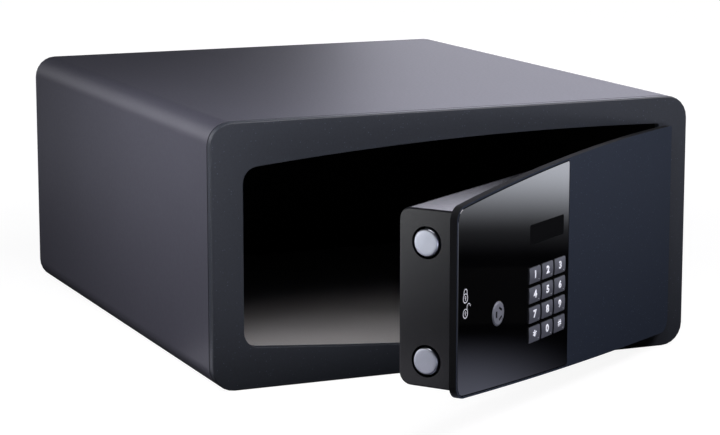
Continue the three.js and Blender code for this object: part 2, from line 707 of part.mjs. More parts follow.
// What the door's hinge edge gives up to clear the frame as it swings: a solid turned about the
// pivot, whose radius at each height follows the opening's hinge side and its corners.
function hingeRelief() {
  const side = doorOutline(0).getPoints()
    .filter((point) => point.x > OPENING_RIGHT - OPENING_CORNER)
    .sort((a, b) => a.y - b.y);
  const reach = (point) => Math.hypot(PIVOT_X - point.x, PIVOT_DEPTH) + SWING_CLEARANCE;
  return standAlongZ(turned([
    [0, side[0].y],
    ...side.map((point) => [reach(point), point.y]),
    [0, side.at(-1).y],
  ], 2 * ROUND_STEPS)).translate(PIVOT_X, PIVOT_DEPTH, 0);
}

function doorPlate() {
  const blank = alongY(doorOutline(DOOR_GAP), 0, DOOR_THICKNESS);
  const pocket = alongY(panelOutline(-SEAT), -OVERRUN, POCKET_DEPTH);
  const window = block(WINDOW_LEFT, WINDOW_RIGHT, 0, DOOR_THICKNESS + OVERRUN, WINDOW_BOTTOM, WINDOW_TOP);
  const lockHole = rod(BARREL_RADIUS + SEAT, 0, DOOR_THICKNESS + OVERRUN).translate(ROTOR_X, 0, ROTOR_Z);
  const plate = cut(blank, hingeRelief(), pocket, window, lockHole);
  const rooted = (radius, back, { x, z }) =>
    rod(radius, DOOR_THICKNESS - SEAT, back, SMALL_STEPS).translate(x, 0, z);
  const studs = boardStuds.map((place) => rooted(STUD_RADIUS, BOARD_DEPTH - SEAT, place));
  const posts = coverPosts.map((place) => rooted(POST_RADIUS, POST_BACK, place));
  const threads = coverPosts.map(({ x, z }) =>
    rod(SCREW_RADIUS + SCREW_CLEARANCE, POST_BACK - SCREW_LENGTH, POST_BACK + OVERRUN, SMALL_STEPS)
      .translate(x, 0, z));
  return cut(join(plate, ...studs, ...posts), ...threads);
}

function controlPanel() {
  const blank = alongY(panelOutline(0), 0, 2 * PANEL_THICKNESS, PANEL_EDGE_BEVEL, 1);
  const sheet = keep(blank, block(-WIDTH, WIDTH, -OVERRUN, PANEL_THICKNESS, 0, HEIGHT));
  const keyHole = roundedRectangle(
    KEY_WIDTH + 2 * KEY_GAP,
    KEY_HEIGHT + 2 * KEY_GAP,
    KEY_CORNER + KEY_GAP,
    KEY_CORNER_STEPS,
  );
  const keyHoles = keyPlaces.map(({ x, z }) =>
    alongY(keyHole, -OVERRUN, PANEL_THICKNESS + OVERRUN).translate(x, 0, z));
  const glassSeat = alongY(
    roundedRectangle(DISPLAY_WIDTH, DISPLAY_HEIGHT, DISPLAY_CORNER),
    -OVERRUN,
    DISPLAY_GLASS + SEAT / 2,
  ).translate(KEYPAD_X, 0, DISPLAY_Z);
  const lightHole = alongY(
    roundedRectangle(
      DISPLAY_WIDTH - 2 * DISPLAY_LEDGE,
      DISPLAY_HEIGHT - 2 * DISPLAY_LEDGE,
      DISPLAY_CORNER / 2,
    ),
    0,
    PANEL_THICKNESS + OVERRUN,
  ).translate(KEYPAD_X, 0, DISPLAY_Z);
  const rotorHole = rod(ROTOR_RADIUS + ROTOR_GAP, -OVERRUN, PANEL_THICKNESS + OVERRUN)
    .translate(ROTOR_X, 0, ROTOR_Z);
  return cut(sheet, ...keyHoles, glassSeat, lightHole, rotorHole);
}

function displayWindow() {
  const play = SEAT / 2;
  return alongY(
    roundedRectangle(DISPLAY_WIDTH - 2 * play, DISPLAY_HEIGHT - 2 * play, DISPLAY_CORNER - play),
    0,
    DISPLAY_GLASS,
  );
}

function displayModule() {
  const front = PANEL_THICKNESS + SEAT;
  const body = alongY(
    roundedRectangle(MODULE_WIDTH, MODULE_HEIGHT, MODULE_RECESS, 2),
    front,
    BOARD_DEPTH - SEAT,
  );
  const glass = alongY(
    roundedRectangle(MODULE_WIDTH - 2 * MODULE_BEZEL, MODULE_HEIGHT - 2 * MODULE_BEZEL, MODULE_RECESS, 2),
    front - OVERRUN,
    front + MODULE_RECESS,
  );
  return cut(body, glass);
}

// A key cap is a pillow that bulges towards the user, with a flange behind the panel.
// It is made about the centre of its front opening.
function keyCap() {
  const sagitta = KEY_CROWN_PROUD - KEY_EDGE_PROUD;
  const radius = (KEY_HEIGHT ** 2 / 4 + sagitta ** 2) / (2 * sagitta);
  const half = Math.asin(KEY_HEIGHT / 2 / radius);
  const flangeFront = PANEL_THICKNESS + SEAT;
  const flangeBack = flangeFront + KEY_FLANGE_THICKNESS;
  const side = new THREE.Shape([
    ...arcPoints(radius - KEY_CROWN_PROUD, 0, radius, Math.PI - half, Math.PI + half, CORNER_STEPS),
    new THREE.Vector2(flangeBack, -KEY_HEIGHT / 2),
    new THREE.Vector2(flangeBack, KEY_HEIGHT / 2),
  ]);
  const pillow = alongX(side, -KEY_WIDTH / 2, KEY_WIDTH / 2);
  const corners = alongY(
    roundedRectangle(KEY_WIDTH, KEY_HEIGHT, KEY_CORNER, KEY_CORNER_STEPS),
    -KEY_CROWN_PROUD - OVERRUN,
    flangeBack + OVERRUN,
  );
  const flangeX = KEY_WIDTH / 2 + KEY_FLANGE;
  const flangeZ = KEY_HEIGHT / 2 + KEY_FLANGE;
  return join(
    keep(pillow, corners),
    block(-flangeX, flangeX, flangeFront, flangeBack, -flangeZ, flangeZ),
  );
}

function keypadMat() {
  const back = BOARD_DEPTH - SEAT;
  const front = back - MAT_SHEET;
  const domeFront = PANEL_THICKNESS + SEAT + KEY_FLANGE_THICKNESS + KEY_TRAVEL + DOME_CLEARANCE;
  const top = KEYPAD_Z + (KEY_ROWS - 1) / 2 * KEY_PITCH_Z + KEY_HEIGHT / 2 + KEY_WINDOW_MARGIN / 2;
  const sheet = block(WINDOW_LEFT + SEAT, WINDOW_RIGHT - SEAT, front, back, WINDOW_BOTTOM + SEAT, top);
  const domes = keyPlaces.map(({ x, z }) =>
    block(x - DOME_WIDTH / 2, x + DOME_WIDTH / 2, domeFront, back - MAT_SHEET / 2,
      z - DOME_HEIGHT / 2, z + DOME_HEIGHT / 2));
  return join(sheet, ...domes);
}

function circuitBoard() {
  const back = BOARD_DEPTH + BOARD_THICKNESS;
  const sheet = block(BOARD_LEFT, BOARD_RIGHT, BOARD_DEPTH, back, BOARD_BOTTOM, BOARD_TOP);
  const mounted = (x, z, width, height, thickness) =>
    block(x - width / 2, x + width / 2, back - SEAT, back + thickness, z - height / 2, z + height / 2);
  const lowRow = KEYPAD_Z - KEY_PITCH_Z;
  const buzzer = rod(BUZZER_RADIUS, back - SEAT, back + BUZZER_THICKNESS, SMALL_STEPS)
    .translate(BOARD_RIGHT - 2 * BUZZER_RADIUS, 0, lowRow);
  return join(
    sheet,
    mounted(KEYPAD_X, KEYPAD_Z, CHIP_WIDTH, CHIP_HEIGHT, CHIP_THICKNESS),
    mounted(KEYPAD_X, lowRow, SOCKET_WIDTH, SOCKET_HEIGHT, SOCKET_THICKNESS),
    buzzer,
  );
}

// Lock box

function boxProfile(inset, front) {
  const back = BOX_DEPTH - inset;
  const half = BOX_HEIGHT / 2 - inset;
  const bend = BOX_BEND - inset;
  const quarter = Math.PI / 2;
  return new THREE.Shape([
    new THREE.Vector2(front, BOX_MID_Z - half),
    ...arcPoints(back - bend, BOX_MID_Z - half + bend, bend, -quarter, 0, CORNER_STEPS),
    ...arcPoints(back - bend, BOX_MID_Z + half - bend, bend, 0, quarter, CORNER_STEPS),
    new THREE.Vector2(front, BOX_MID_Z + half),
  ]);
}

const RAIL_TOP = BOX_MID_Z + HOLDER_HEIGHT / 2 + COVER_MARGIN + RAIL_GAP;
const RAIL_BOTTOM = BOX_MID_Z - HOLDER_HEIGHT / 2 - COVER_MARGIN - RAIL_GAP;
const LIP_FRONT = BOX_DEPTH + SEAT + COVER_THICKNESS + RAIL_GAP;

function railPair() {
  const left = HOLDER_X - HOLDER_WIDTH / 2 - COVER_MARGIN;
  const right = HOLDER_X + HOLDER_WIDTH / 2 + COVER_MARGIN + COVER_TRAVEL;
  const back = LIP_FRONT + RAIL_WALL;
  return [
    { wall: RAIL_TOP, out: 1 },
    { wall: RAIL_BOTTOM, out: -1 },
  ].flatMap(({ wall, out }) => {
    const outer = wall + out * RAIL_WALL;
    const lip = wall - out * RAIL_LIP;
    return [
      block(left, right, BOX_DEPTH - BOX_WALL / 2, back, Math.min(wall, outer), Math.max(wall, outer)),
      block(left, right, LIP_FRONT, back, Math.min(lip, outer), Math.max(lip, outer)),
    ];
  });
}

function lockCover() {
  const blank = alongX(boxProfile(0, BOX_FRONT - 2 * BOX_END_ROUND), BOX_LEFT, BOX_RIGHT, BOX_END_ROUND, 2);
  const outer = keep(blank, block(-WIDTH, WIDTH, BOX_FRONT, BOX_DEPTH + OVERRUN, 0, HEIGHT));
  const cavity = alongX(
    boxProfile(BOX_WALL, BOX_FRONT - OVERRUN),
    BOX_LEFT + BOX_WALL,
    BOX_RIGHT - BOX_WALL,
  );
  const boltHoles = [-1, 1].map((end) =>
    alongX(circle(BOLT_RADIUS + BOLT_HOLE_CLEARANCE), BOX_LEFT - OVERRUN, BOX_LEFT + BOX_WALL + OVERRUN)
      .translate(0, BOLT_DEPTH, BOLT_MID_Z + end * BOLT_SPREAD / 2));
  const screwHoles = coverPosts.map(({ x, z }) =>
    rod(SCREW_RADIUS + SEAT, BOX_DEPTH - BOX_WALL - OVERRUN, BOX_DEPTH + OVERRUN, SMALL_STEPS)
      .translate(x, 0, z));
  const window = block(
    HOLDER_X - HOLDER_WIDTH / 2 + WINDOW_LEDGE, HOLDER_X + HOLDER_WIDTH / 2 - WINDOW_LEDGE,
    BOX_DEPTH - BOX_WALL - OVERRUN, BOX_DEPTH + OVERRUN,
    BOX_MID_Z - HOLDER_HEIGHT / 2 + WINDOW_LEDGE, BOX_MID_Z + HOLDER_HEIGHT / 2 - WINDOW_LEDGE,
  );
  return join(cut(outer, cavity, ...boltHoles, ...screwHoles, window), ...railPair());
}

// A cover screw is made with the seat of its head at the origin, its shank towards -Y
function coverScrew() {
  const shank = SCREW_RADIUS;
  const tip = POST_BACK - SCREW_LENGTH + SEAT - SCREW_SEAT;
  const chamfer = SCREW_CLEARANCE * 2;
  const screw = turned([
    [0, tip], [shank - chamfer, tip], [shank, tip + chamfer], [shank, 0],
    [SCREW_HEAD_RADIUS, 0], [SCREW_HEAD_RADIUS, SCREW_HEAD_HEIGHT / 2],
    [SCREW_HEAD_RADIUS - SCREW_HEAD_HEIGHT / 2, SCREW_HEAD_HEIGHT], [0, SCREW_HEAD_HEIGHT],
  ], SMALL_STEPS);
  const socket = rod(
    SCREW_RECESS_RADIUS,
    SCREW_HEAD_HEIGHT - SCREW_RECESS_DEPTH,
    SCREW_HEAD_HEIGHT + OVERRUN,
    HEXAGON,
  );
  return cut(screw, socket);
}

// Boltwork

const CARRIAGE_BACK = CARRIAGE_DEPTH + CARRIAGE_THICKNESS;

// A bolt lies along X with its outer end at the origin; a stud fixes it to the carriage
function bolt() {
  const bar = layAlongX(turned([
    [0, 0], [BOLT_RADIUS - BOLT_CHAMFER, 0], [BOLT_RADIUS, BOLT_CHAMFER],
    [BOLT_RADIUS, BOLT_LENGTH - BOLT_CHAMFER], [BOLT_RADIUS - BOLT_CHAMFER, BOLT_LENGTH], [0, BOLT_LENGTH],
  ]));
  const stud = rod(BOLT_STUD_RADIUS, 0, CARRIAGE_BACK - BOLT_DEPTH + SEAT, SMALL_STEPS)
    .translate(BOLT_LENGTH - BOLT_STUD_INSET, 0, 0);
  return join(bar, stud);
}

// The carriage ties both bolts together and carries the double-sided rack
function boltCarriage() {
  const halfSpread = BOLT_SPREAD / 2;
  const upright = block(
    STUD_X - CARRIAGE_WIDTH / 2, STUD_X + CARRIAGE_WIDTH / 2, CARRIAGE_DEPTH, CARRIAGE_BACK,
    BOLT_MID_Z - halfSpread - CARRIAGE_MARGIN, BOLT_MID_Z + halfSpread + CARRIAGE_MARGIN,
  );
  const left = ROTOR_X - RACK_OVERHANG;
  const right = PINION_X + BOLT_TRAVEL + RACK_OVERHANG;
  const rack = new THREE.Shape([
    ...rackSide(ROTOR_X, left, right, RACK_Z - RACK_HALF_PITCH, -1),
    ...rackSide(PINION_X, left, right, RACK_Z + RACK_HALF_PITCH, 1).reverse(),
  ]);
  const stiffener = block(
    left, right, RACK_DEPTH + GEAR_WIDTH - SEAT, CARRIAGE_BACK,
    RACK_Z - RACK_HALF_PITCH / 2, RACK_Z + RACK_HALF_PITCH / 2,
  );
  const holes = [-1, 1].map((end) =>
    rod(BOLT_STUD_RADIUS + SEAT, CARRIAGE_DEPTH - OVERRUN, CARRIAGE_BACK + OVERRUN, SMALL_STEPS)
      .translate(STUD_X, 0, BOLT_MID_Z + end * halfSpread));
  return cut(join(alongY(rack, RACK_DEPTH, RACK_DEPTH + GEAR_WIDTH), stiffener, upright), ...holes);
}

function boltGuide() {
  const x0 = BOX_LEFT + GUIDE_INSET;
  const x1 = x0 + GUIDE_WALL;
  const half = BOX_HEIGHT / 2 - BOX_WALL - GUIDE_MARGIN;
  const angle = alongZ(new THREE.Shape([
    new THREE.Vector2(x0, BOX_FRONT),
    new THREE.Vector2(x1 + GUIDE_FOOT, BOX_FRONT),
    new THREE.Vector2(x1 + GUIDE_FOOT, BOX_FRONT + GUIDE_WALL),
    new THREE.Vector2(x1, BOX_FRONT + GUIDE_WALL),
    new THREE.Vector2(x1, BOX_FRONT + GUIDE_DEPTH),
    new THREE.Vector2(x0, BOX_FRONT + GUIDE_DEPTH),
  ]), BOX_MID_Z - half, BOX_MID_Z + half);
  const window = block(
    x0 - OVERRUN, x1 + GUIDE_FOOT + OVERRUN, BOX_FRONT + GUIDE_WINDOW_DEPTH, BOX_DEPTH,
    BOLT_MID_Z - GUIDE_WINDOW_HEIGHT / 2, BOLT_MID_Z + GUIDE_WINDOW_HEIGHT / 2,
  );
  const lockHole = rod(BARREL_FLANGE_RADIUS + SEAT, BOX_FRONT - OVERRUN, BOX_FRONT + GUIDE_WALL + OVERRUN)
    .translate(ROTOR_X, 0, ROTOR_Z);
  const holes = [-1, 1].map((end) =>
    alongX(circle(BOLT_RADIUS + GUIDE_BOLT_CLEARANCE), x0 - OVERRUN, x1 + OVERRUN)
      .translate(0, BOLT_DEPTH, BOLT_MID_Z + end * BOLT_SPREAD / 2));
  return cut(angle, window, lockHole, ...holes);
}

// Emergency lock, made about its axis at the front face

function lockRotor() {
  const round = ROTOR_RIM_ROUND;
  const spindleBack = RACK_DEPTH + GEAR_WIDTH + SEAT;
  const body = turned([
    [0, -ROTOR_PROUD], [ROTOR_RADIUS - round, -ROTOR_PROUD], [ROTOR_RADIUS, round - ROTOR_PROUD],
    [ROTOR_RADIUS, PANEL_THICKNESS], [SPINDLE_RADIUS, PANEL_THICKNESS],
    [SPINDLE_RADIUS, spindleBack], [0, spindleBack],
  ]);
  const slots = Array.from({ length: SLOT_COUNT }, (_, i) =>
    block(-SLOT_WIDTH / 2 - SLOT_RADIUS, SLOT_WIDTH / 2 - SLOT_RADIUS, -ROTOR_PROUD - OVERRUN,
      SLOT_DEPTH - ROTOR_PROUD, -SLOT_LENGTH / 2, SLOT_LENGTH / 2)
      .rotateY(2 * Math.PI * i / SLOT_COUNT));
  return cut(body, ...slots);
}

function lockBarrel() {
  const bore = SPINDLE_RADIUS + SPINDLE_CLEARANCE;
  const front = PANEL_THICKNESS + SEAT;
  const flangeBack = BOX_FRONT + BARREL_FLANGE;
  return turned([
    [bore, front], [BARREL_RADIUS, front], [BARREL_RADIUS, BOX_FRONT], [BARREL_FLANGE_RADIUS, BOX_FRONT],
    [BARREL_FLANGE_RADIUS, flangeBack], [BARREL_NECK_RADIUS, flangeBack],
    [BARREL_NECK_RADIUS, BARREL_DEPTH], [bore, BARREL_DEPTH], [bore, front],
  ]);
}

// Outlines of (x, z) turn with +Z up, so a tooth centred on the outline's +Y meets the rack above it
function rotorGear() {
  const outline = gearOutline(ROTOR_TEETH);
  const gap = Math.PI / ROTOR_TEETH;
  const back = RACK_DEPTH + GEAR_WIDTH;
  const gear = alongY(outline, RACK_DEPTH, back).rotateY(gap);
  return cut(gear, rod(SPINDLE_RADIUS + SPINDLE_CLEARANCE, RACK_DEPTH - OVERRUN, back + OVERRUN));
}

function drivePinion() {
  const outline = gearOutline(PINION_TEETH);
  const gap = Math.PI + Math.PI / PINION_TEETH;
  const gear = alongY(outline, RACK_DEPTH, RACK_DEPTH + GEAR_WIDTH).rotateY(gap);
  return join(gear, rod(SHAFT_RADIUS, GEARBOX_BACK - SHAFT_DEPTH + SEAT, RACK_DEPTH + SEAT, SMALL_STEPS));
}

function motorGearbox() {
  const halfWidth = GEARBOX_WIDTH / 2;
  const body = alongY(
    roundedRectangle(GEARBOX_WIDTH, GEARBOX_HEIGHT, GEARBOX_FOOT / 2, 3),
    GEARBOX_FRONT,
    GEARBOX_BACK,
  );
  const foot = block(
    -halfWidth, GEARBOX_FOOT - halfWidth, BOX_FRONT, GEARBOX_FRONT + SEAT,
    -GEARBOX_HEIGHT / 3, GEARBOX_HEIGHT / 3,
  );
  const bearing = rod(SHAFT_RADIUS + SPINDLE_CLEARANCE, GEARBOX_BACK - SHAFT_DEPTH, GEARBOX_BACK + OVERRUN);
  return cut(join(body, foot), bearing);
}

function motorCan() {
  const back = MOTOR_LENGTH + MOTOR_CAP_LENGTH;
  return layAlongX(turned([
    [0, 0], [MOTOR_RADIUS, 0], [MOTOR_RADIUS, MOTOR_LENGTH],
    [MOTOR_CAP_RADIUS, MOTOR_LENGTH], [MOTOR_CAP_RADIUS, back], [0, back],
  ]));
}

// Batteries

function batteryHolder() {
  const halfX = HOLDER_WIDTH / 2;
  const halfZ = HOLDER_HEIGHT / 2;
  const tray = block(-halfX, halfX, HOLDER_FRONT, HOLDER_BACK, -halfZ, halfZ);
  const hollow = block(
    HOLDER_WALL - halfX, halfX - HOLDER_WALL, HOLDER_FRONT + HOLDER_WALL, HOLDER_BACK + OVERRUN,
    HOLDER_WALL - halfZ, halfZ - HOLDER_WALL,
  );
  return cut(tray, hollow);
}

// A contact strip stands at one end of the cells, seen here about the holder's centre
function contactStrip(end) {
  const halfX = HOLDER_WIDTH / 2 - HOLDER_WALL - SEAT;
  const outer = HOLDER_INNER_HEIGHT / 2 - SEAT;
  const inner = outer - CONTACT_THICKNESS;
  return block(
    -halfX, halfX, HOLDER_FRONT + HOLDER_WALL + SEAT, HOLDER_BACK - CELL_RADIUS,
    Math.min(end * inner, end * outer), Math.max(end * inner, end * outer),
  );
}

function cell() {
  const half = (CELL_LENGTH + NUB_LENGTH) / 2;
  const shoulder = half - NUB_LENGTH;
  return standAlongZ(turned([
    [0, -half], [CELL_RADIUS, -half], [CELL_RADIUS, shoulder],
    [NUB_RADIUS, shoulder], [NUB_RADIUS, half], [0, half],
  ], SMALL_STEPS));
}

function batteryCover() {
  const halfX = HOLDER_WIDTH / 2 + COVER_MARGIN;
  const halfZ = HOLDER_HEIGHT / 2 + COVER_MARGIN;
  const front = BOX_DEPTH + SEAT;
  const back = front + COVER_THICKNESS;
  const sheet = block(-halfX, halfX, front, back, -halfZ, halfZ);
  const ribs = Array.from({ length: GRIP_COUNT }, (_, i) => {
    const x = halfX - (i + 2) * GRIP_PITCH;
    return block(x - GRIP_WIDTH / 2, x + GRIP_WIDTH / 2, back - COVER_THICKNESS / 2, back + GRIP_HEIGHT,
      -GRIP_LENGTH / 2, GRIP_LENGTH / 2);
  });
  return join(sheet, ...ribs);
}

// Assembly. The door's pieces are placed as if it were shut, and the leaf turns about the pivot.
const safe = new THREE.Group();
safe.position.y = -DEPTH / 2;

const hingeZ = { upper: MID_Z + HINGE_SPREAD / 2, lower: MID_Z - HINGE_SPREAD / 2 };
const boltZ = { upper: BOLT_MID_Z + BOLT_SPREAD / 2, lower: BOLT_MID_Z - BOLT_SPREAD / 2 };

safe.add(
  part('body_shell', bodyShell(), satinPaint),
  part('back_panel', backPanel(), satinPaint),
  part('front_frame', frontFrame(), texturedPaint),
  part('floor_mat', floorMat(), felt),
  part('strike_plate', strikePlate(), zincPlate),
);
for (const [place, z] of Object.entries(hingeZ)) {
  safe.add(
    part(`hinge_bracket_${place}`, hingeBracket(), zincPlate, PIVOT_X, PIVOT_DEPTH, z),
    part(`hinge_pin_${place}`, hingePin(), steel, PIVOT_X, PIVOT_DEPTH, z),
  );
}

const turn = new THREE.Group();
turn.position.set(PIVOT_X, PIVOT_DEPTH, 0);
turn.rotation.z = REST_ANGLE;
safe.add(turn);
const leaf = new THREE.Group();
leaf.position.set(-PIVOT_X, -PIVOT_DEPTH, 0);
turn.add(leaf);

leaf.add(
  part('door_plate', doorPlate(), texturedPaint),
  part('control_panel', controlPanel(), glossPanel),
  part('display_window', displayWindow(), darkGlass, KEYPAD_X, 0, DISPLAY_Z),
  part('display_module', displayModule(), blackPlastic, KEYPAD_X, 0, DISPLAY_Z),
  part('keypad_mat', keypadMat(), rubber),
  part('circuit_board', circuitBoard(), boardGreen),
  part('lock_cover', lockCover(), satinPaint),
  part('bolt_guide', boltGuide(), zincPlate),
  part('bolt_carriage', boltCarriage(), zincPlate),
  part('lock_barrel', lockBarrel(), brass, ROTOR_X, 0, ROTOR_Z),
  part('lock_rotor', lockRotor(), greyPlastic, ROTOR_X, 0, ROTOR_Z),
  part('rotor_gear', rotorGear(), brass, ROTOR_X, 0, ROTOR_Z),
  part('drive_pinion', drivePinion(), brass, PINION_X, 0, PINION_Z),
  part('motor_gearbox', motorGearbox(), blackPlastic, PINION_X, 0, PINION_Z),
  part('motor_can', motorCan(), zincPlate,
    PINION_X + GEARBOX_WIDTH / 2 + SEAT, (GEARBOX_FRONT + GEARBOX_BACK) / 2, PINION_Z),
  part('battery_holder', batteryHolder(), blackPlastic, HOLDER_X, 0, BOX_MID_Z),
  part('battery_contact_upper', contactStrip(1), steel, HOLDER_X, 0, BOX_MID_Z),
  part('battery_contact_lower', contactStrip(-1), steel, HOLDER_X, 0, BOX_MID_Z),
  part('battery_cover', batteryCover(), blackPlastic, HOLDER_X, 0, BOX_MID_Z),
);
for (const [place, z] of Object.entries(hingeZ)) {
  leaf.add(part(`hinge_arm_${place}`, hingeArm(), zincPlate, PIVOT_X, PIVOT_DEPTH, z));
}
for (const [place, z] of Object.entries(boltZ)) {
  leaf.add(part(`bolt_${place}`, bolt(), steel, BOLT_LEFT, BOLT_DEPTH, z));
}
for (const { legend, x, z } of keyPlaces) {
  leaf.add(part(`key_${legend}`, keyCap(), keyPlastic, x, 0, z));
}
for (let i = 0; i < CELL_COUNT; i += 1) {
  const x = HOLDER_X + (i - (CELL_COUNT - 1) / 2) * (2 * CELL_RADIUS + CELL_GAP);
  const y = HOLDER_FRONT + HOLDER_WALL + CELL_GAP + CELL_RADIUS;
  const mesh = part(`cell_${i + 1}`, cell(), cellWrap, x, y, BOX_MID_Z);
  mesh.rotation.x = Math.PI * (i % 2);
  leaf.add(mesh);
}
coverPosts.forEach(({ x, z }, i) => {
  leaf.add(part(`cover_screw_${i + 1}`, coverScrew(), steel, x, SCREW_SEAT, z));
});

export default safe;
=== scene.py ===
"""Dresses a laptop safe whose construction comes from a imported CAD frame, and sets its stage."""

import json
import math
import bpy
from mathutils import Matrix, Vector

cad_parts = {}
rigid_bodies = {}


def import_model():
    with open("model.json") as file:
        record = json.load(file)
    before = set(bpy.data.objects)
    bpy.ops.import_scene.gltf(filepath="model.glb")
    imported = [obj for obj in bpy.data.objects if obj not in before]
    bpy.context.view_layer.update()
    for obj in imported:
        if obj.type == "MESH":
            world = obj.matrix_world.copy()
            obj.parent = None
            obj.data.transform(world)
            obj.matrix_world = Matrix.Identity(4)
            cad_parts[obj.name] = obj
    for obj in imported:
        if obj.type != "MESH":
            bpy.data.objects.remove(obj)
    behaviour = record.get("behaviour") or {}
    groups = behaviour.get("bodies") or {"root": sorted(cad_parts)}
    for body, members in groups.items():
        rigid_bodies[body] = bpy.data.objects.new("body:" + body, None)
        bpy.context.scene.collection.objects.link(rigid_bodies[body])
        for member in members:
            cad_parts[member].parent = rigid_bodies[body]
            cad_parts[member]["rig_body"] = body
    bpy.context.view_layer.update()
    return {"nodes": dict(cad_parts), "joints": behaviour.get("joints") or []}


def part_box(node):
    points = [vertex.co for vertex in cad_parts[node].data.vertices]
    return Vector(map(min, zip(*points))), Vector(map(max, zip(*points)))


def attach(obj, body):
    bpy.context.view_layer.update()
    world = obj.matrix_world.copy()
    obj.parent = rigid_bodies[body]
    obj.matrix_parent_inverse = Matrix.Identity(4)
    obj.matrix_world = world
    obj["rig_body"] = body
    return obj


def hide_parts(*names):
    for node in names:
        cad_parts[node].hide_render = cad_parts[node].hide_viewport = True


bl_info = {
    "name": "Laptop safe",
    "version": (1, 0, 0),
    "blender": (4, 5, 0),
    "location": "3D View > Sidebar > Safe",
    "description": "Finishes, key legends and studio stage for a laptop safe with an open door",
    "category": "Object",
}

import bmesh
import bpy
from bpy.props import FloatProperty, FloatVectorProperty, IntProperty, PointerProperty
from mathutils import Matrix, Vector
from mathutils.bvhtree import BVHTree

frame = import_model()

MM = 0.001
WELD = 0.002 * MM
SKIN = 0.5 * MM
COPLANAR = math.radians(0.05)
SHARP = math.radians(28)
TURNED_SHARP = math.radians(40)
STUD_SEGMENTS = 32

# Cosines between a face and a direction: facing it, nearly facing it, on edge to it
FLAT_ON = 0.9
KEY_FRONT = 0.8
EDGE_ON = 0.25

hinge = next(joint for joint in frame["joints"] if joint["name"] == "door_hinge")
pivot = Vector(hinge["pos_m"])
rest_turn = -math.radians(hinge["range_deg"][0])
door_rest = (
    Matrix.Translation(pivot) @ Matrix.Rotation(rest_turn, 4, "Z") @ Matrix.Translation(-pivot)
)
door_shut = door_rest.inverted()
door_ahead = door_rest.to_3x3() @ Vector((0, -1, 0))

KEY_GLYPHS = {"star": "*", "hash": "#"}
LETTER_SPREAD = 1.25
DIGIT_BOLD = 0.05
SIGN_BOLD = 0.02
GLYPH_WELD = 1e-4


# Sizes read from the frame


def shut_box(node):
    """Lowest and highest corner of a node on the door, as they are with the door shut."""
    points = [door_shut @ vertex.co for vertex in frame["nodes"][node].data.vertices]
    low = Vector(min(point[axis] for point in points) for axis in range(3))
    high = Vector(max(point[axis] for point in points) for axis in range(3))
    return low, high


def middle(box):
    return (box[0] + box[1]) / 2


def nodes_named(*starts):
    return [node for node in frame["nodes"] if node.startswith(starts)]


# Colour and material


def linear(code):
    """An sRGB hex colour as linear red, green and blue."""
    channels = [int(code[i : i + 2], 16) / 255 for i in (1, 3, 5)]
    return tuple(c / 12.92 if c <= 0.04045 else ((c + 0.055) / 1.055) ** 2.4 for c in channels)


def rgba(colour):
    return (*colour, 1.0)


def shade(colour, gain):
    return tuple(channel * gain for channel in colour)


def pitch(millimetres):
    """The texture scale at which one feature takes this many millimetres."""
    return 1 / (millimetres * MM)


def add_node(tree, kind, inputs=None, **fields):
    """Adds a node, sets its fields, and sets or links its inputs."""
    made = tree.nodes.new(kind)
    for name, value in fields.items():
        setattr(made, name, value)
    for name, value in (inputs or {}).items():
        if isinstance(value, bpy.types.NodeSocket):
            tree.links.new(value, made.inputs[name])
        else:
            made.inputs[name].default_value = value
    return made


def start_material(name):
    """A material still without a surface, its node tree, and the object's own coordinates."""
    material = bpy.data.materials.new(name)
    material.use_nodes = True
    tree = material.node_tree
    tree.nodes.clear()
    return material, tree, add_node(tree, "ShaderNodeTexCoord").outputs["Object"]


def surfaced(material, tree, sockets):
    """Ends a material with a Principled surface, whose even values sit on its own sockets."""
    surface = add_node(tree, "ShaderNodeBsdfPrincipled", sockets)
    add_node(tree, "ShaderNodeOutputMaterial", {"Surface": surface.outputs["BSDF"]})
    return material


def noise(tree, place, feature_mm, detail=2.0, **inputs):
    """Cloudy noise with features of this many millimetres."""
    inputs.update({"Vector": place, "Scale": pitch(feature_mm), "Detail": detail})
    return add_node(tree, "ShaderNodeTexNoise", inputs).outputs["Fac"]


def blend(tree, share, low, high):
    """A mix of two colours, each a plain colour or another node's."""
    ends = [end if isinstance(end, bpy.types.NodeSocket) else rgba(end) for end in (low, high)]
    mix = add_node(tree, "ShaderNodeMix", {0: share, 6: ends[0], 7: ends[1]}, data_type="RGBA")
    return mix.outputs[2]


def uneven(tree, share, colour, dark, light):
    """A colour that a pattern makes darker and lighter."""
    return blend(tree, share, shade(colour, dark), shade(colour, light))


def spread(tree, value, low, high, start=0.0, end=1.0, interpolation="LINEAR"):
    """A value brought from the range start to end into the range low to high."""
    return add_node(
        tree, "ShaderNodeMapRange",
        {"Value": value, "From Min": start, "From Max": end, "To Min": low, "To Max": high},
        interpolation_type=interpolation,
    ).outputs["Result"]


def maths(tree, operation, first, second):
    return add_node(
        tree, "ShaderNodeMath", {0: first, 1: second}, operation=operation
    ).outputs["Value"]


def glow(tree, strength, colour=(1, 1, 1)):
    sockets = {"Color": rgba(colour), "Strength": strength}
    return add_node(tree, "ShaderNodeEmission", sockets).outputs["Emission"]


def shader_mix(tree, share, first, second):
    sockets = {0: share, 1: first, 2: second}
    return add_node(tree, "ShaderNodeMixShader", sockets).outputs["Shader"]


def relief(tree, height, strength, depth_mm):
    """A bump that follows a pattern, at most this many millimetres deep."""
    sockets = {"Height": height, "Strength": strength, "Distance": depth_mm * MM}
    return add_node(tree, "ShaderNodeBump", sockets).outputs["Normal"]


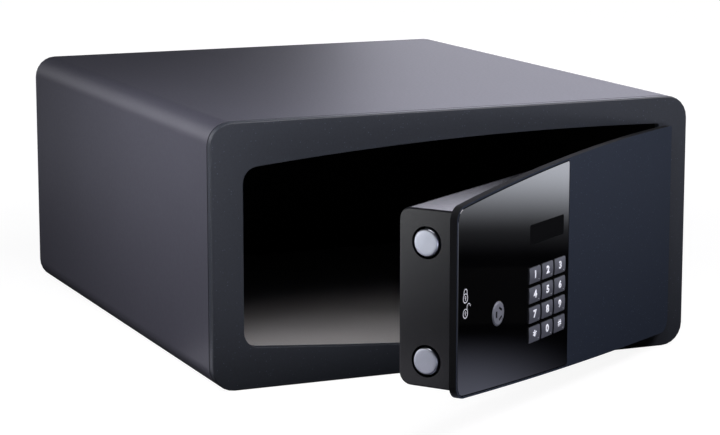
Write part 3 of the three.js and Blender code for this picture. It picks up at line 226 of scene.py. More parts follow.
def satin_powder_coat(name, colour, roughness):
    """Polyester powder, sprayed and baked: an even satin skin with a faint orange peel."""
    material, tree, place = start_material(name)
    # The peel's real waves are about 1 mm across, drawn at twice that so that they show
    peel = noise(tree, place, 2, 1.0)
    return surfaced(material, tree, {
        "Base Color": uneven(tree, noise(tree, place, 90), colour, 0.93, 1.07),
        "Roughness": spread(tree, peel, roughness - 0.04, roughness + 0.04),
        "Normal": relief(tree, peel, 0.05, 0.3),
    })


def textured_powder_coat(name, colour, fleck, roughness, gloss):
    """Fine-texture powder with metal flake: a dry grain that breaks up light, with small glints."""
    material, tree, place = start_material(name)
    # Real grains are near 0.4 mm, drawn at 1.1 mm so that they show
    grain = noise(tree, place, 1.1, 3.0)
    speck = add_node(tree, "ShaderNodeTexVoronoi", {"Vector": place, "Scale": pitch(1.6)})
    glint = spread(tree, speck.outputs["Distance"], 0.0, 0.5, 0.22, 0.1)
    # The cells' random red picks about one in six to carry a flake
    cells = add_node(tree, "ShaderNodeSeparateColor", {"Color": speck.outputs["Color"]})
    chosen = maths(tree, "GREATER_THAN", cells.outputs["Red"], 0.82)
    flake = maths(tree, "MULTIPLY", glint, chosen)
    return surfaced(material, tree, {
        "Base Color": blend(tree, flake, uneven(tree, grain, colour, 0.72, 1.3), fleck),
        "Roughness": spread(tree, grain, roughness - 0.08, roughness + 0.08),
        "Normal": relief(tree, grain, 0.22, 0.2),
        "Specular IOR Level": gloss,
    })


def near_black_painted_shade(name, colour):
    """Painted shade: a thin, matt and nearly black coat, so the cabinet's inside stays dark."""
    material, tree, place = start_material(name)
    cloud = noise(tree, place, 14, 3.0)
    return surfaced(material, tree, {
        "Base Color": uneven(tree, cloud, colour, 0.8, 1.2),
        "Roughness": spread(tree, cloud, 0.6, 0.75),
        "Specular IOR Level": 0.2,
    })


def cast_acrylic(name, colour, roughness):
    """Polished acrylic with black print behind it: deep black that mirrors the studio."""
    material, tree, place = start_material(name)
    wave = noise(tree, place, 40, 1.0)
    return surfaced(material, tree, {
        "Base Color": uneven(tree, wave, colour, 0.9, 1.1),
        "Roughness": spread(tree, wave, roughness * 0.8, roughness * 1.2),
        "Normal": relief(tree, wave, 0.02, 0.5),
        "IOR": 1.49,
    })


def etched_lens(name, colour):
    """Smoked acrylic with an etched face that scatters reflections, so it looks flat black."""
    material, tree, place = start_material(name)
    etch = noise(tree, place, 0.8)
    return surfaced(material, tree, {
        "Base Color": uneven(tree, etch, colour, 0.85, 1.15),
        "Roughness": spread(tree, etch, 0.55, 0.7),
        "Specular IOR Level": 0.06,
    })


def moulded_abs(name, colour, roughness, grain_mm=0.9):
    """Injection-moulded ABS from a spark-eroded tool: a fine even matt grain."""
    material, tree, place = start_material(name)
    # The tool's grain is about 0.2 mm, drawn coarser so that it shows
    spark = noise(tree, place, grain_mm)
    return surfaced(material, tree, {
        "Base Color": uneven(tree, spark, colour, 0.9, 1.1),
        "Roughness": spread(tree, spark, roughness - 0.05, roughness + 0.05),
        "Normal": relief(tree, spark, 0.1, 0.1),
    })


def moulded_silicone(name, colour):
    """Compression-moulded silicone: dull, slightly dusty black."""
    return moulded_abs(name, colour, 0.8, 1.4)


def screen_ink(name, colour, strength):
    """Legend ink: opaque, slightly uneven and matt, with a painted glow that keeps it white under any
    light.
    """
    material, tree, place = start_material(name)
    return surfaced(material, tree, {
        "Base Color": uneven(tree, noise(tree, place, 0.7), colour, 0.88, 1.0),
        "Roughness": 0.55,
        "Emission Color": rgba(colour),
        "Emission Strength": strength,
    })


def turned_metal(name, colour, roughness, groove_mm):
    """Lathe-turned metal: rings from the tool that draw the light out across the faces."""
    material, tree, place = start_material(name)
    along = add_node(tree, "ShaderNodeUVMap", uv_map=TURNING_UV).outputs["UV"]
    # A wave texture repeats every tau / 20 of its own unit
    ring = add_node(
        tree, "ShaderNodeTexWave",
        {"Vector": along, "Scale": pitch(groove_mm) * math.tau / 20, "Distortion": 0.6},
        bands_direction="Y",
    ).outputs["Fac"]
    cloud = noise(tree, place, 4)
    return surfaced(material, tree, {
        "Base Color": uneven(tree, ring, colour, 0.92, 1.0),
        "Metallic": 1.0,
        "Roughness": spread(tree, cloud, roughness - 0.06, roughness + 0.06),
        "Normal": relief(tree, ring, 0.08, 0.05),
    })


def plated_sheet(name, colour, warm, roughness):
    """Zinc-plated sheet steel: soft grey metal, clouded in patches where the plating is thicker."""
    material, tree, place = start_material(name)
    cloud = noise(tree, place, 9, 4.0)
    return surfaced(material, tree, {
        "Base Color": blend(tree, cloud, colour, warm),
        "Metallic": 1.0,
        "Roughness": spread(tree, cloud, roughness - 0.1, roughness + 0.1),
        "Normal": relief(tree, noise(tree, place, 1.5, 1.0), 0.06, 0.1),
    })


def needled_felt(name, colour, fibre):
    """Needle-punched felt: tangled fibres in two tones, with a soft nap at glancing angles."""
    material, tree, place = start_material(name)
    tangle = noise(tree, place, 1.4, 5.0, Roughness=0.7, Distortion=1.5)
    nap = blend(tree, tangle, shade(colour, 0.75), fibre)
    return surfaced(material, tree, {
        "Base Color": blend(tree, noise(tree, place, 45), nap, colour),
        "Roughness": 0.95,
        "Sheen Weight": 0.3,
        "Sheen Roughness": 0.6,
        "Normal": relief(tree, tangle, 0.6, 0.6),
    })


def board_laminate(name, mask, copper):
    """Glass laminate under solder mask: green, with lighter copper runs showing through."""
    material, tree, place = start_material(name)
    run = add_node(
        tree, "ShaderNodeTexBrick",
        {"Vector": place, "Color1": rgba(mask), "Color2": rgba(shade(mask, 0.85)),
         "Mortar": rgba(copper), "Scale": pitch(60), "Mortar Size": 0.012},
    )
    return surfaced(material, tree, {
        "Base Color": run.outputs["Color"],
        "Roughness": 0.35,
        "Normal": relief(tree, noise(tree, place, 0.8), 0.05, 0.1),
    })


def shrink_sleeve(name, colour, band):
    """Printed shrink sleeve on a cell, left plain: a glossy film with one darker band."""
    material, tree, place = start_material(name)
    height = add_node(tree, "ShaderNodeSeparateXYZ", {"Vector": place}).outputs["Z"]
    low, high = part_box("cell_1")
    share = spread(tree, height, 0.0, 1.0, low.z, high.z)
    return surfaced(material, tree, {
        "Base Color": blend(tree, maths(tree, "GREATER_THAN", share, 0.7), colour, band),
        "Roughness": 0.3,
    })


# Meshes

TURNING_UV = "turning"


def linked(name, mesh, materials):
    """An object of a finished mesh, in the scene."""
    data = bpy.data.meshes.new(name)
    mesh.to_mesh(data)
    mesh.free()
    for material in materials:
        data.materials.append(material)
    piece = bpy.data.objects.new(name, data)
    bpy.context.scene.collection.objects.link(piece)
    return piece


def finish_piece(name, mesh, materials, body, replaced=()):
    """Makes an object of a finished mesh that rides on its body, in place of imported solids."""
    piece = linked(name, mesh, materials)
    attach(piece, body)
    if replaced:
        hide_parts(*replaced)
    return piece


def ease_normals(piece):
    """Keeps large flats flat and lets the rounded edges between them shade smoothly."""
    for face in piece.data.polygons:
        face.use_smooth = True
    weighted = piece.modifiers.new("weighted_normals", "WEIGHTED_NORMAL")
    weighted.keep_sharp = True
    return piece


def clean_copy(node):
    """The node's solid with its shared corners merged and its coplanar facets joined."""
    mesh = bmesh.new()
    mesh.from_mesh(frame["nodes"][node].data)
    bmesh.ops.remove_doubles(mesh, verts=mesh.verts, dist=WELD)
    bmesh.ops.dissolve_limit(
        mesh, angle_limit=COPLANAR, verts=mesh.verts, edges=mesh.edges, use_dissolve_boundaries=False
    )
    return mesh


def corners(mesh, chosen=lambda edge: True):
    return [
        edge
        for edge in mesh.edges
        if len(edge.link_faces) == 2
        and edge.is_convex
        and edge.calc_face_angle() > SHARP
        and chosen(edge)
    ]


def round_edges(mesh, edges, width, segments):
    if edges:
        bmesh.ops.bevel(
            mesh, geom=edges, offset=width, offset_type="OFFSET", segments=segments,
            profile=0.5, affect="EDGES", clamp_overlap=True, miter_outer="ARC",
        )


def dressed(node, material, width, segments=2, name=None, wide=None, inner=None):
    """A solid with its outside corners broken. `wide` gives some edges a round of their own
    before the rest, and `inner` gives some faces a second material."""
    mesh = clean_copy(node)
    if wide:
        round_edges(mesh, corners(mesh, wide["edges"]), wide["width"], wide["segments"])
    round_edges(mesh, corners(mesh), width, segments)
    materials = [material]
    if inner:
        materials.append(inner["material"])
        for face in mesh.faces:
            face.material_index = 1 if inner["faces"](face) else 0
    body = frame["nodes"][node]["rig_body"]
    name = name or f"{node}_finished"
    return ease_normals(finish_piece(name, mesh, materials, body, [node]))


def paint(nodes, material):
    """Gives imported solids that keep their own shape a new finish."""
    for node in nodes:
        for slot in frame["nodes"][node].material_slots:
            slot.material = material


def arc(x, z, radius, start, end, steps):
    """Points of an arc, from one angle to another in degrees."""
    angles = [math.radians(start + (end - start) * i / steps) for i in range(steps + 1)]
    return [(x + radius * math.cos(a), z + radius * math.sin(a)) for a in angles]


def turned(profile, segments, matrix):
    """A solid of revolution about its own Z. The profile runs from axis to axis, and the UV map
    holds the way along it, so that tool marks can follow the turning."""
    mesh = bmesh.new()
    uv = mesh.loops.layers.uv.new(TURNING_UV)
    way = [0.0]
    for last, here in zip(profile, profile[1:]):
        way.append(way[-1] + math.dist(last, here))
    rings = []
    for radius, length in profile:
        if radius < WELD:
            rings.append([mesh.verts.new(matrix @ Vector((0, 0, length)))] * segments)
            continue
        angles = [math.tau * i / segments for i in range(segments)]
        rings.append([
            mesh.verts.new(matrix @ Vector((radius * math.cos(a), radius * math.sin(a), length)))
            for a in angles
        ])
    for i, (low, high) in enumerate(zip(rings, rings[1:])):
        for j in range(segments):
            k = (j + 1) % segments
            loop = [(low[j], i), (low[k], i), (high[k], i + 1), (high[j], i + 1)]
            unique = [item for n, item in enumerate(loop) if item[0] not in [x[0] for x in loop[:n]]]
            face = mesh.faces.new([vertex for vertex, _ in unique])
            for corner, (_, ring) in zip(face.loops, unique):
                corner[uv].uv = (j / segments, way[ring])
    bmesh.ops.recalc_face_normals(mesh, faces=mesh.faces)
    return mesh


def turned_piece(name, profile, segments, matrix, material, body, replaced):
    mesh = turned(profile, segments, matrix)
    piece = finish_piece(name, mesh, [material], body, replaced)
    for face in piece.data.polygons:
        face.use_smooth = True
    piece.data.set_sharp_from_angle(angle=TURNED_SHARP)
    return piece


def strip(mesh, points, width, front, back):
    """A raised line of even width along points on a flat panel, (x, z), between two depths."""
    closed = (Vector(points[0]) - Vector(points[-1])).length < WELD
    path = [Vector(point) for point in (points[:-1] if closed else points)]
    count = len(path)
    rows = []
    for i, point in enumerate(path):
        before = path[i - 1] if closed or i else point
        after = path[(i + 1) % count] if closed or i < count - 1 else point
        along = (after - before).normalized()
        side = Vector((-along.y, along.x)) * width / 2
        rows.append([
            mesh.verts.new(Vector((spot.x, depth, spot.y)))
            for spot, depth in (
                (point + side, front), (point - side, front), (point - side, back), (point + side, back)
            )
        ])
    spans = count if closed else count - 1
    for i in range(spans):
        here, there = rows[i], rows[(i + 1) % count]
        for j in range(4):
            mesh.faces.new((here[j], here[(j + 1) % 4], there[(j + 1) % 4], there[j]))
    if not closed:
        mesh.faces.new(rows[0])
        mesh.faces.new(rows[-1])


def glyph(text, height, bold, depth):
    """A character as a thin closed solid, centred, standing in the XZ plane and facing -Y."""
    curve = bpy.data.curves.new("glyph", "FONT")
    curve.body = text
    curve.align_x = "CENTER"
    curve.size = 1.0
    curve.resolution_u = 4
    curve.offset = bold
    holder = bpy.data.objects.new("glyph", curve)
    bpy.context.scene.collection.objects.link(holder)
    bpy.context.view_layer.update()
    outline = bpy.data.meshes.new_from_object(holder.evaluated_get(bpy.context.evaluated_depsgraph_get()))
    bpy.data.objects.remove(holder)
    bpy.data.curves.remove(curve)
    mesh = bmesh.new()
    mesh.from_mesh(outline)
    bpy.data.meshes.remove(outline)
    bmesh.ops.remove_doubles(mesh, verts=mesh.verts, dist=GLYPH_WELD)
    low = Vector(min(v.co[axis] for v in mesh.verts) for axis in range(3))
    high = Vector(max(v.co[axis] for v in mesh.verts) for axis in range(3))
    scale = height / (high.y - low.y)
    centre = (low + high) / 2
    for vertex in mesh.verts:
        flat = (vertex.co - centre) * scale
        vertex.co = Vector((flat.x * LETTER_SPREAD, 0, flat.y))
    front = list(mesh.faces)
    grown = bmesh.ops.extrude_face_region(mesh, geom=front)
    for item in grown["geom"]:
        if isinstance(item, bmesh.types.BMVert):
            item.co.y -= depth
    bmesh.ops.recalc_face_normals(mesh, faces=mesh.faces)
    return mesh


# Settings


def length_setting(name, millimetres, description, precision=5):
    return FloatProperty(
        name=name, description=description, default=millimetres * MM, precision=precision,
        subtype="DISTANCE", unit="LENGTH",
    )


class SafeSizes(bpy.types.PropertyGroup):
    """Small sizes that the dressing adds to the frame's."""

    break_edge: length_setting("Broken edge", 0.3, "Width of the break on sheet and plate edges")
    fine_edge: length_setting("Fine edge", 0.15, "Width of the break on panel, lens and screws")
    door_edge: length_setting("Door edge", 0.9, "Width of the round along the door plate's front")
    felt_edge: length_setting("Felt edge", 0.8, "Width of the soft round along the mat")
    key_edge: length_setting("Key edge", 0.8, "Width of the round along a key's edges")
    digit_height: length_setting("Digit height", 5.3, "Height of the digits on the keys")
    sign_height: length_setting("Sign height", 4.6, "Height of the star and hash on the keys")
    lens_corner: length_setting("Lens corner", 2.2, "Radius of the display lens's corners")
    ink_depth: length_setting("Ink", 0.04, "How far printed ink stands on its surface", 6)
    icon_size: length_setting("Padlock sign", 6.2, "Diameter of each padlock sign's round body")
    bolt_round: length_setting("Bolt round", 1.1, "Radius of the round at a bolt's end")
    disc_dome: length_setting("Disc dome", 0.45, "How far the lock disc's rim stands lower")
    # Painted glow: the key legends give off light of their own, so that they read white
    key_painted_glow: FloatProperty(
        name="Key glow", description="Light that comes through the legends of the keys", default=0.5
    )
    # Painted glow: the padlock signs give off light of their own, so that they read white
    print_painted_glow: FloatProperty(
        name="Print glow", description="Light that comes through the padlock signs", default=0.2
    )
    turning_segments: IntProperty(
        name="Turning segments", description="Facets round a turned piece", default=72, min=12
    )


def colour_setting(name, code, description):
    return FloatVectorProperty(
        name=name, description=description, default=linear(code), size=3, min=0, max=1,
        subtype="COLOR",
    )


class SafeColours(bpy.types.PropertyGroup):
    """Colours of the safe's finishes."""

    shell: colour_setting("Cabinet", "#3c3c44", "Satin powder coat of the cabinet")
    cover: colour_setting("Lock cover", "#161619", "Satin powder coat of the lock cover")
    # Painted shade: this near-black on the door plate's cut edge stands in for the shade on it
    edge: colour_setting("Door edge", "#0a0a0c", "Coat on the door plate's cut edge")
    front: colour_setting("Frame", "#2a2d33", "Textured powder coat of the front frame")
    door: colour_setting("Door", "#2b313d", "Textured powder coat of the door plate")
    flake: colour_setting("Flake", "#707a8c", "Metal flake in the textured coat")
    inside: colour_setting("Inside", "#08080a", "Primer inside the cabinet")
    # Painted shade: this near-black keeps the cabinet's inside dark
    panel: colour_setting("Control panel", "#050506", "Gloss control panel")
    lens: colour_setting("Display lens", "#040405", "Smoked lens over the display")
    key: colour_setting("Keys", "#5a5c66", "Keys of the keypad")
    ink: colour_setting("Legends", "#e2e3ec", "Printed digits and signs")
    cap: colour_setting("Lock disc", "#7e808a", "Disc of the emergency lock")
    bolt: colour_setting("Bolts", "#c3c6d0", "Turned steel of bolts and pins")
    plate: colour_setting("Zinc plate", "#a6abb2", "Zinc-plated brackets and arms")
    plate_warm: colour_setting("Zinc plate, thick", "#b4b3ab", "Thicker patches of the plating")
    brass: colour_setting("Brass", "#b58f4e", "Barrel and gears")
    felt: colour_setting("Felt", "#b4b1ac", "Floor mat")
    fibre: colour_setting("Felt fibre", "#cfccc8", "Lighter fibres of the floor mat")
    black: colour_setting("Black mouldings", "#151517", "Battery and motor mouldings")
    rubber: colour_setting("Silicone", "#1c1c1e", "Keypad mat")
    board: colour_setting("Board", "#1c5238", "Solder mask of the circuit board")
    copper: colour_setting("Copper runs", "#3f7a52", "Copper seen through the mask")
    cell: colour_setting("Cell sleeve", "#35507a", "Sleeve of the battery cells")
    band: colour_setting("Cell band", "#1b2430", "Band of the battery cells")


class SafeStage(bpy.types.PropertyGroup):
    """Camera and lights."""

    yaw: FloatProperty(
        name="Camera turn", description="How far the camera looks towards +X from +Y",
        default=0.41026, subtype="ANGLE", unit="ROTATION",
    )
    tilt: FloatProperty(
        name="Camera tilt", description="How far the camera looks down",
        default=0.1818, subtype="ANGLE", unit="ROTATION",
    )
    distance: length_setting("Camera distance", 1875.33, "From the camera to its aim")
    aim: FloatVectorProperty(
        name="Camera aim", description="Point in the middle of the picture",
        default=(0.01547, -0.001, 0.07072), subtype="TRANSLATION", unit="LENGTH",
    )
    lens: FloatProperty(
        name="Lens", description="Focal length over a 36 mm wide sensor", default=121.54,
        subtype="DISTANCE_CAMERA", unit="CAMERA",
    )
    world_level: FloatProperty(
        name="Room light", description="Level of the even light from all round", default=0.0, min=0
    )
    # The photo's gloss panel mirrors a dark studio, so reflections see little of the white paper
    mirror_level: FloatProperty(
        name="Mirrored white", description="Level at which reflections see the paper and the room",
        default=0.01, min=0, max=1,
    )
    floor_grey: FloatProperty(
        name="Floor", description="How much of the light the floor gives back", default=0.15
    )
    paper_glow: FloatProperty(
        name="Paper glow", description="The paper's own white round the object", default=0.91
    )
    paper_near: length_setting("Glow starts", 350, "How far out the paper starts to turn white")
    paper_far: length_setting("White from", 900, "How far out the paper is plain white")


# Pieces


def settings(context):
    return context.scene.safe_sizes, context.scene.safe_colours


class SAFE_OT_cabinet(bpy.types.Operator):
    """Finish the wrapped shell, the back panel and the front frame"""

    bl_idname = "mesh.safe_cabinet"
    bl_label = "Cabinet"

    def execute(self, context):
        sizes, colours = settings(context)
        coat = satin_powder_coat("satin_polyester_powder", colours.shell, 0.44)
        # Painted shade: the cabinet's inside faces are near-black, so that the inside reads dark
        inside_painted_shade = near_black_painted_shade("painted_shade_inside", colours.inside)
        low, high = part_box("body_shell")
        inside_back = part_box("back_panel")[0].y

        def inside_shell(face):
            spot = face.calc_center_median()
            within = all(low[axis] + SKIN < spot[axis] < high[axis] - SKIN for axis in (0, 2))
            return within and face.normal.dot(spot - (low + high) / 2) < 0

        def inside_panel(face):
            return face.normal.y < -FLAT_ON and face.calc_center_median().y < inside_back + SKIN

        for node, inside in (("body_shell", inside_shell), ("back_panel", inside_panel)):
            dressed(node, coat, sizes.break_edge, inner={"material": inside_painted_shade, "faces": inside})
        texture = textured_powder_coat(
            "fine_texture_powder_frame", colours.front, colours.flake, 0.42, 0.5
        )
        dressed("front_frame", texture, sizes.break_edge)
        return {"FINISHED"}


class SAFE_OT_floor_mat(bpy.types.Operator):
    """Lay the felt mat on the cabinet's floor"""

    bl_idname = "mesh.safe_floor_mat"
    bl_label = "Floor mat"

    def execute(self, context):
        sizes, colours = settings(context)
        felt = needled_felt("needled_felt", colours.felt, colours.fibre)
        mat = dressed("floor_mat", felt, sizes.felt_edge, 3, name="felt_mat")
        return {"FINISHED"}


class SAFE_OT_hinges(bpy.types.Operator):
    """Finish the hinge brackets, pins and arms, and the strike plate"""

    bl_idname = "mesh.safe_hinges"
    bl_label = "Hinges and strike"

    def execute(self, context):
        sizes, colours = settings(context)
        plate = plated_sheet("zinc_plated_sheet", colours.plate, colours.plate_warm, 0.4)
        steel = turned_metal("turned_steel_pin", colours.bolt, 0.3, 0.25)
        for node in nodes_named("hinge_bracket", "hinge_arm", "strike"):
            dressed(node, plate, sizes.break_edge)
        head = 2 * MM
        dome = 0.6 * MM
        shank_share = 0.61
        for node in ("hinge_pin_upper", "hinge_pin_lower"):
            low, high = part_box(node)
            radius = (high.x - low.x) / 2
            shank = radius * shank_share
            centre = middle((low, high))
            profile = [
                (0, low.z), (shank - dome / 2, low.z), (shank, low.z + dome / 2),
                (shank, high.z - head), (radius, high.z - head),
                *arc(radius - dome, high.z - dome, dome, 0, 90, 4), (0, high.z),
            ]
            turned_piece(
                f"{node}_finished", profile, sizes.turning_segments,
                Matrix.Translation((centre.x, centre.y, 0)), steel, "cabinet", [node],
            )
        return {"FINISHED"}


class SAFE_OT_door_plate(bpy.types.Operator):
    """Finish the door plate, with its rounded front edge"""

    bl_idname = "mesh.safe_door_plate"
    bl_label = "Door plate"

    def execute(self, context):
        sizes, colours = settings(context)
        texture = textured_powder_coat(
            "fine_texture_powder_door", colours.door, colours.flake, 0.5, 0.06
        )
        # Painted shade: the plate's cut edge is coloured near-black, so that it reads dark
        edge_painted_shade = near_black_painted_shade("painted_shade_door_edge", colours.edge)
        face_y = shut_box("door_plate")[0].y
        pocket = shut_box("control_panel")
        reach = 0.6 * MM

        def outer_front(edge):
            """True for the front edges that run round the door, not those round the pocket."""
            ends = [door_shut @ vertex.co for vertex in edge.verts]
            if any(abs(end.y - face_y) > WELD for end in ends):
                return False
            spot = (ends[0] + ends[1]) / 2
            return not all(
                pocket[0][axis] - reach < spot[axis] < pocket[1][axis] + reach for axis in (0, 2)
            )

        def on_edge(face):
            return abs(face.normal.dot(door_ahead)) < EDGE_ON

        dressed(
            "door_plate", texture, sizes.break_edge,
            wide={"edges": outer_front, "width": sizes.door_edge, "segments": 3},
            inner={"material": edge_painted_shade, "faces": on_edge},
        )
        return {"FINISHED"}


class SAFE_OT_control_panel(bpy.types.Operator):
    """Finish the gloss panel, the display lens and the printed padlock signs"""

    bl_idname = "mesh.safe_control_panel"
    bl_label = "Control panel"

    def execute(self, context):
        sizes, colours = settings(context)
        gloss = cast_acrylic("back_printed_acrylic", colours.panel, 0.05)
        dressed("control_panel", gloss, sizes.fine_edge)
        lens = etched_lens("etched_smoked_acrylic", colours.lens)

        def stands(edge):
            ends = [door_shut @ vertex.co for vertex in edge.verts]
            return abs(ends[0].x - ends[1].x) < WELD and abs(ends[0].z - ends[1].z) < WELD

        dressed(
            "display_window", lens, sizes.fine_edge,
            wide={"edges": stands, "width": sizes.lens_corner, "segments": 5},
        )
        self.add_signs(sizes, screen_ink("screen_print", colours.ink, sizes.print_painted_glow))
        return {"FINISHED"}

    def add_signs(self, sizes, ink):
        """Two plain padlocks, shut above and open below, each with a keyhole in its body."""
        panel = shut_box("control_panel")
        front = panel[0].y - sizes.ink_depth
        back = panel[0].y + sizes.ink_depth
        radius = sizes.icon_size / 2
        line = 0.55 * MM
        hole_line, hole_radius, hole_rise = 0.45 * MM, 0.7 * MM, 0.5 * MM
        slit_line, slit_top, slit_foot = 0.5 * MM, 0.2 * MM, 1.5 * MM
        bow, bow_rise, open_tail = 2.05 * MM, 3.7 * MM, 0.6 * MM
        sign_step, sign_inset, sign_rise = 9.6 * MM, 9.6 * MM, 17.7 * MM
        x = panel[0].x + sign_inset
        shut_z = middle(shut_box("lock_rotor")).z + sign_rise
        foot_rise = math.sqrt(radius**2 - bow**2)
        mesh = bmesh.new()
        for z, swing in ((shut_z, 0), (shut_z - sign_step, 2 * bow)):
            strip(mesh, arc(x, z, radius - line / 2, 0, 360, 40), line, front, back)
            strip(mesh, arc(x, z + hole_rise, hole_radius, 0, 360, 12), hole_line, front, back)
            strip(mesh, [(x, z - slit_top), (x, z - slit_foot)], slit_line, front, back)
            if swing:
                bow_x, start, tail = x + swing, x + bow, z + bow_rise + open_tail
            else:
                bow_x, start, tail = x, x - bow, z + foot_rise
            path = [
                (start, z + foot_rise), *arc(bow_x, z + bow_rise, bow, 180, 0, 14),
                (bow_x + bow, tail),
            ]
            strip(mesh, path, line, front, back)
        mesh.transform(door_rest)
        bmesh.ops.recalc_face_normals(mesh, faces=mesh.faces)
        finish_piece("padlock_signs", mesh, [ink], "door")


class SAFE_OT_keypad(bpy.types.Operator):
    """Finish the keys and print their legends"""

    bl_idname = "mesh.safe_keypad"
    bl_label = "Keypad"

    def execute(self, context):
        sizes, colours = settings(context)
        plastic = moulded_abs("satin_moulded_abs", colours.key, 0.38)
        # Painted shade: the keys' side walls are coloured near-black, so that the gaps round the keys
        # read dark
        key_wall_painted_shade = moulded_abs("key_walls_painted_shade", colours.black, 0.5)
        ink = screen_ink("key_print", colours.ink, sizes.key_painted_glow)
        painted_shade_walls = {"material": key_wall_painted_shade, "faces": lambda face: face.normal.dot(door_ahead) < KEY_FRONT}
        for node in nodes_named("key_"):
            key = dressed(node, plastic, sizes.key_edge, 3, inner=painted_shade_walls)
            self.print_legend(node, key, sizes, ink)
        return {"FINISHED"}

    def print_legend(self, node, key, sizes, ink):
        """Lays the key's character and corner tick on its curved front."""
        right, up, run_up = 0.25 * MM, 0.3 * MM, 5 * MM
        tick_in, tick_up, tick_length, tick_line = 2.6 * MM, 2.3 * MM, 0.9 * MM, 0.3 * MM
        bend_step, bend_reach = 0.8 * MM, 6
        name = node.removeprefix("key_")
        low, high = shut_box(node)
        if name.isdigit():
            mesh = glyph(name, sizes.digit_height, DIGIT_BOLD, 2 * sizes.ink_depth)
        else:
            mesh = glyph(KEY_GLYPHS[name], sizes.sign_height, SIGN_BOLD, 2 * sizes.ink_depth)
        centre = middle((low, high))
        mesh.transform(Matrix.Translation((centre.x + right, 0, centre.z + up)))
        tick_x, tick_z = high.x - tick_in, low.z + tick_up
        tick = [(tick_x - tick_length, tick_z), (tick_x, tick_z)]
        strip(mesh, tick, tick_line, -2 * sizes.ink_depth, 0)
        # Cut into level bands, so that the print can follow the curve of the key
        for level in range(-bend_reach, bend_reach + 1):
            bmesh.ops.bisect_plane(
                mesh, geom=[*mesh.verts, *mesh.edges, *mesh.faces],
                plane_co=(0, 0, centre.z + level * bend_step), plane_no=(0, 0, 1),
            )
        shape = bmesh.new()
        shape.from_mesh(key.data)
        shape.transform(door_shut)
        surface = BVHTree.FromBMesh(shape)
        shape.free()
        ahead = low.y - run_up
        for vertex in mesh.verts:
            hit = surface.ray_cast(Vector((vertex.co.x, ahead, vertex.co.z)), Vector((0, 1, 0)))
            skin = hit[0].y if hit[0] else low.y
            vertex.co.y = skin + vertex.co.y + sizes.ink_depth
        mesh.transform(door_rest)
        bmesh.ops.recalc_face_normals(mesh, faces=mesh.faces)
        body = frame["nodes"][node]["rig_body"]
        finish_piece(f"legend_{name}", mesh, [ink], body)


class SAFE_OT_lock_cover(bpy.types.Operator):
    """Finish the lock cover, the battery cover and the cover screws"""

    bl_idname = "mesh.safe_lock_cover"
    bl_label = "Lock cover"

    def execute(self, context):
        sizes, colours = settings(context)
        coat = satin_powder_coat("satin_powder_cover", colours.cover, 0.25)
        dressed("lock_cover", coat, sizes.break_edge)
        dressed("battery_cover", moulded_abs("hatch_abs", colours.black, 0.45), sizes.break_edge)
        zinc = plated_sheet("zinc_plated_screw", colours.plate, colours.plate_warm, 0.35)
        for node in nodes_named("cover_screw"):
            dressed(node, zinc, sizes.fine_edge)
        return {"FINISHED"}


class SAFE_OT_bolts(bpy.types.Operator):
    """Turn the two bolts, and finish the carriage and the guide"""

    bl_idname = "mesh.safe_bolts"
    bl_label = "Boltwork"

    def execute(self, context):
        sizes, colours = settings(context)
        steel = turned_metal("turned_bolt_steel", colours.bolt, 0.32, 0.25)
        end_rings, bevel = (0, 0.35, 0.7), 0.5 * MM
        edge = sizes.bolt_round
        lay = Matrix.Rotation(math.pi / 2, 4, "Y")
        for node in ("bolt_upper", "bolt_lower"):
            low, high = shut_box(node)
            radius = (high.z - low.z) / 2
            length = high.x - low.x
            profile = [
                *[(radius * share, 0) for share in end_rings], (radius - edge - bevel, 0),
                *arc(radius - edge, edge, edge, -75, 0, 5),
                (radius, length - edge), (radius - edge, length), (0, length),
            ]
            place = Matrix.Translation((low.x, low.y + radius, (low.z + high.z) / 2))
            turned_piece(
                f"{node}_turned", profile, sizes.turning_segments, door_rest @ place @ lay,
                steel, "bolts", [],
            )
            self.add_stud(node, steel)
        plate = plated_sheet("zinc_plated_boltwork", colours.plate, colours.plate_warm, 0.4)
        paint(["bolt_carriage", "bolt_guide"], plate)
        return {"FINISHED"}

    def add_stud(self, node, steel):
        """The stud that fixes a bolt to the carriage."""
        stud, inset, chamfer = 3 * MM, 7 * MM, 0.4 * MM
        low, high = shut_box(node)
        start = low.y + (high.z - low.z) / 2
        reach = high.y - start
        profile = [(0, 0), (stud, 0), (stud, reach - chamfer), (stud - chamfer, reach), (0, reach)]
        lay = Matrix.Rotation(-math.pi / 2, 4, "X")
        place = Matrix.Translation((high.x - inset, start, (low.z + high.z) / 2))
        turned_piece(
            f"{node}_stud", profile, STUD_SEGMENTS, door_rest @ place @ lay, steel, "bolts", [node],
        )


class SAFE_OT_emergency_lock(bpy.types.Operator):
    """Finish the slotted disc, its barrel and the gears behind it"""

    bl_idname = "mesh.safe_emergency_lock"
    bl_label = "Emergency lock"

    def execute(self, context):
        sizes, colours = settings(context)
        slot_reach, slot_top, slot_floor, face_depth = 0.8, 0.02 * MM, 1.5 * MM, 0.7 * MM
        inset = 0.05
        low, high = shut_box("lock_rotor")
        axis = middle((low, high))
        rim = (high.x - low.x) / 2

        def from_axis(spot):
            return math.hypot(spot.x - axis.x, spot.z - axis.z) / rim

        def in_slot(face):
            spot = door_shut @ face.calc_center_median()
            return from_axis(spot) < slot_reach and slot_top < spot.y - low.y < slot_floor

        cap = dressed(
            "lock_rotor", moulded_abs("filled_nylon_cap", colours.cap, 0.4, 1.1),
            sizes.break_edge,
            inner={"material": moulded_abs("slot_shadow", colours.black, 0.7), "faces": in_slot},
        )
        # The face of the cap is a shallow dome, so its rim stands lower than its middle
        for vertex in cap.data.vertices:
            spot = door_shut @ vertex.co
            if spot.y < low.y + face_depth:
                spot.y += sizes.disc_dome * from_axis(spot) ** 2
                spot.x += (axis.x - spot.x) * inset
                spot.z += (axis.z - spot.z) * inset
                vertex.co = door_rest @ spot
        brass = plated_sheet("machined_brass", colours.brass, shade(colours.brass, 1.15), 0.35)
        paint(["lock_barrel", "rotor_gear", "drive_pinion"], brass)
        return {"FINISHED"}


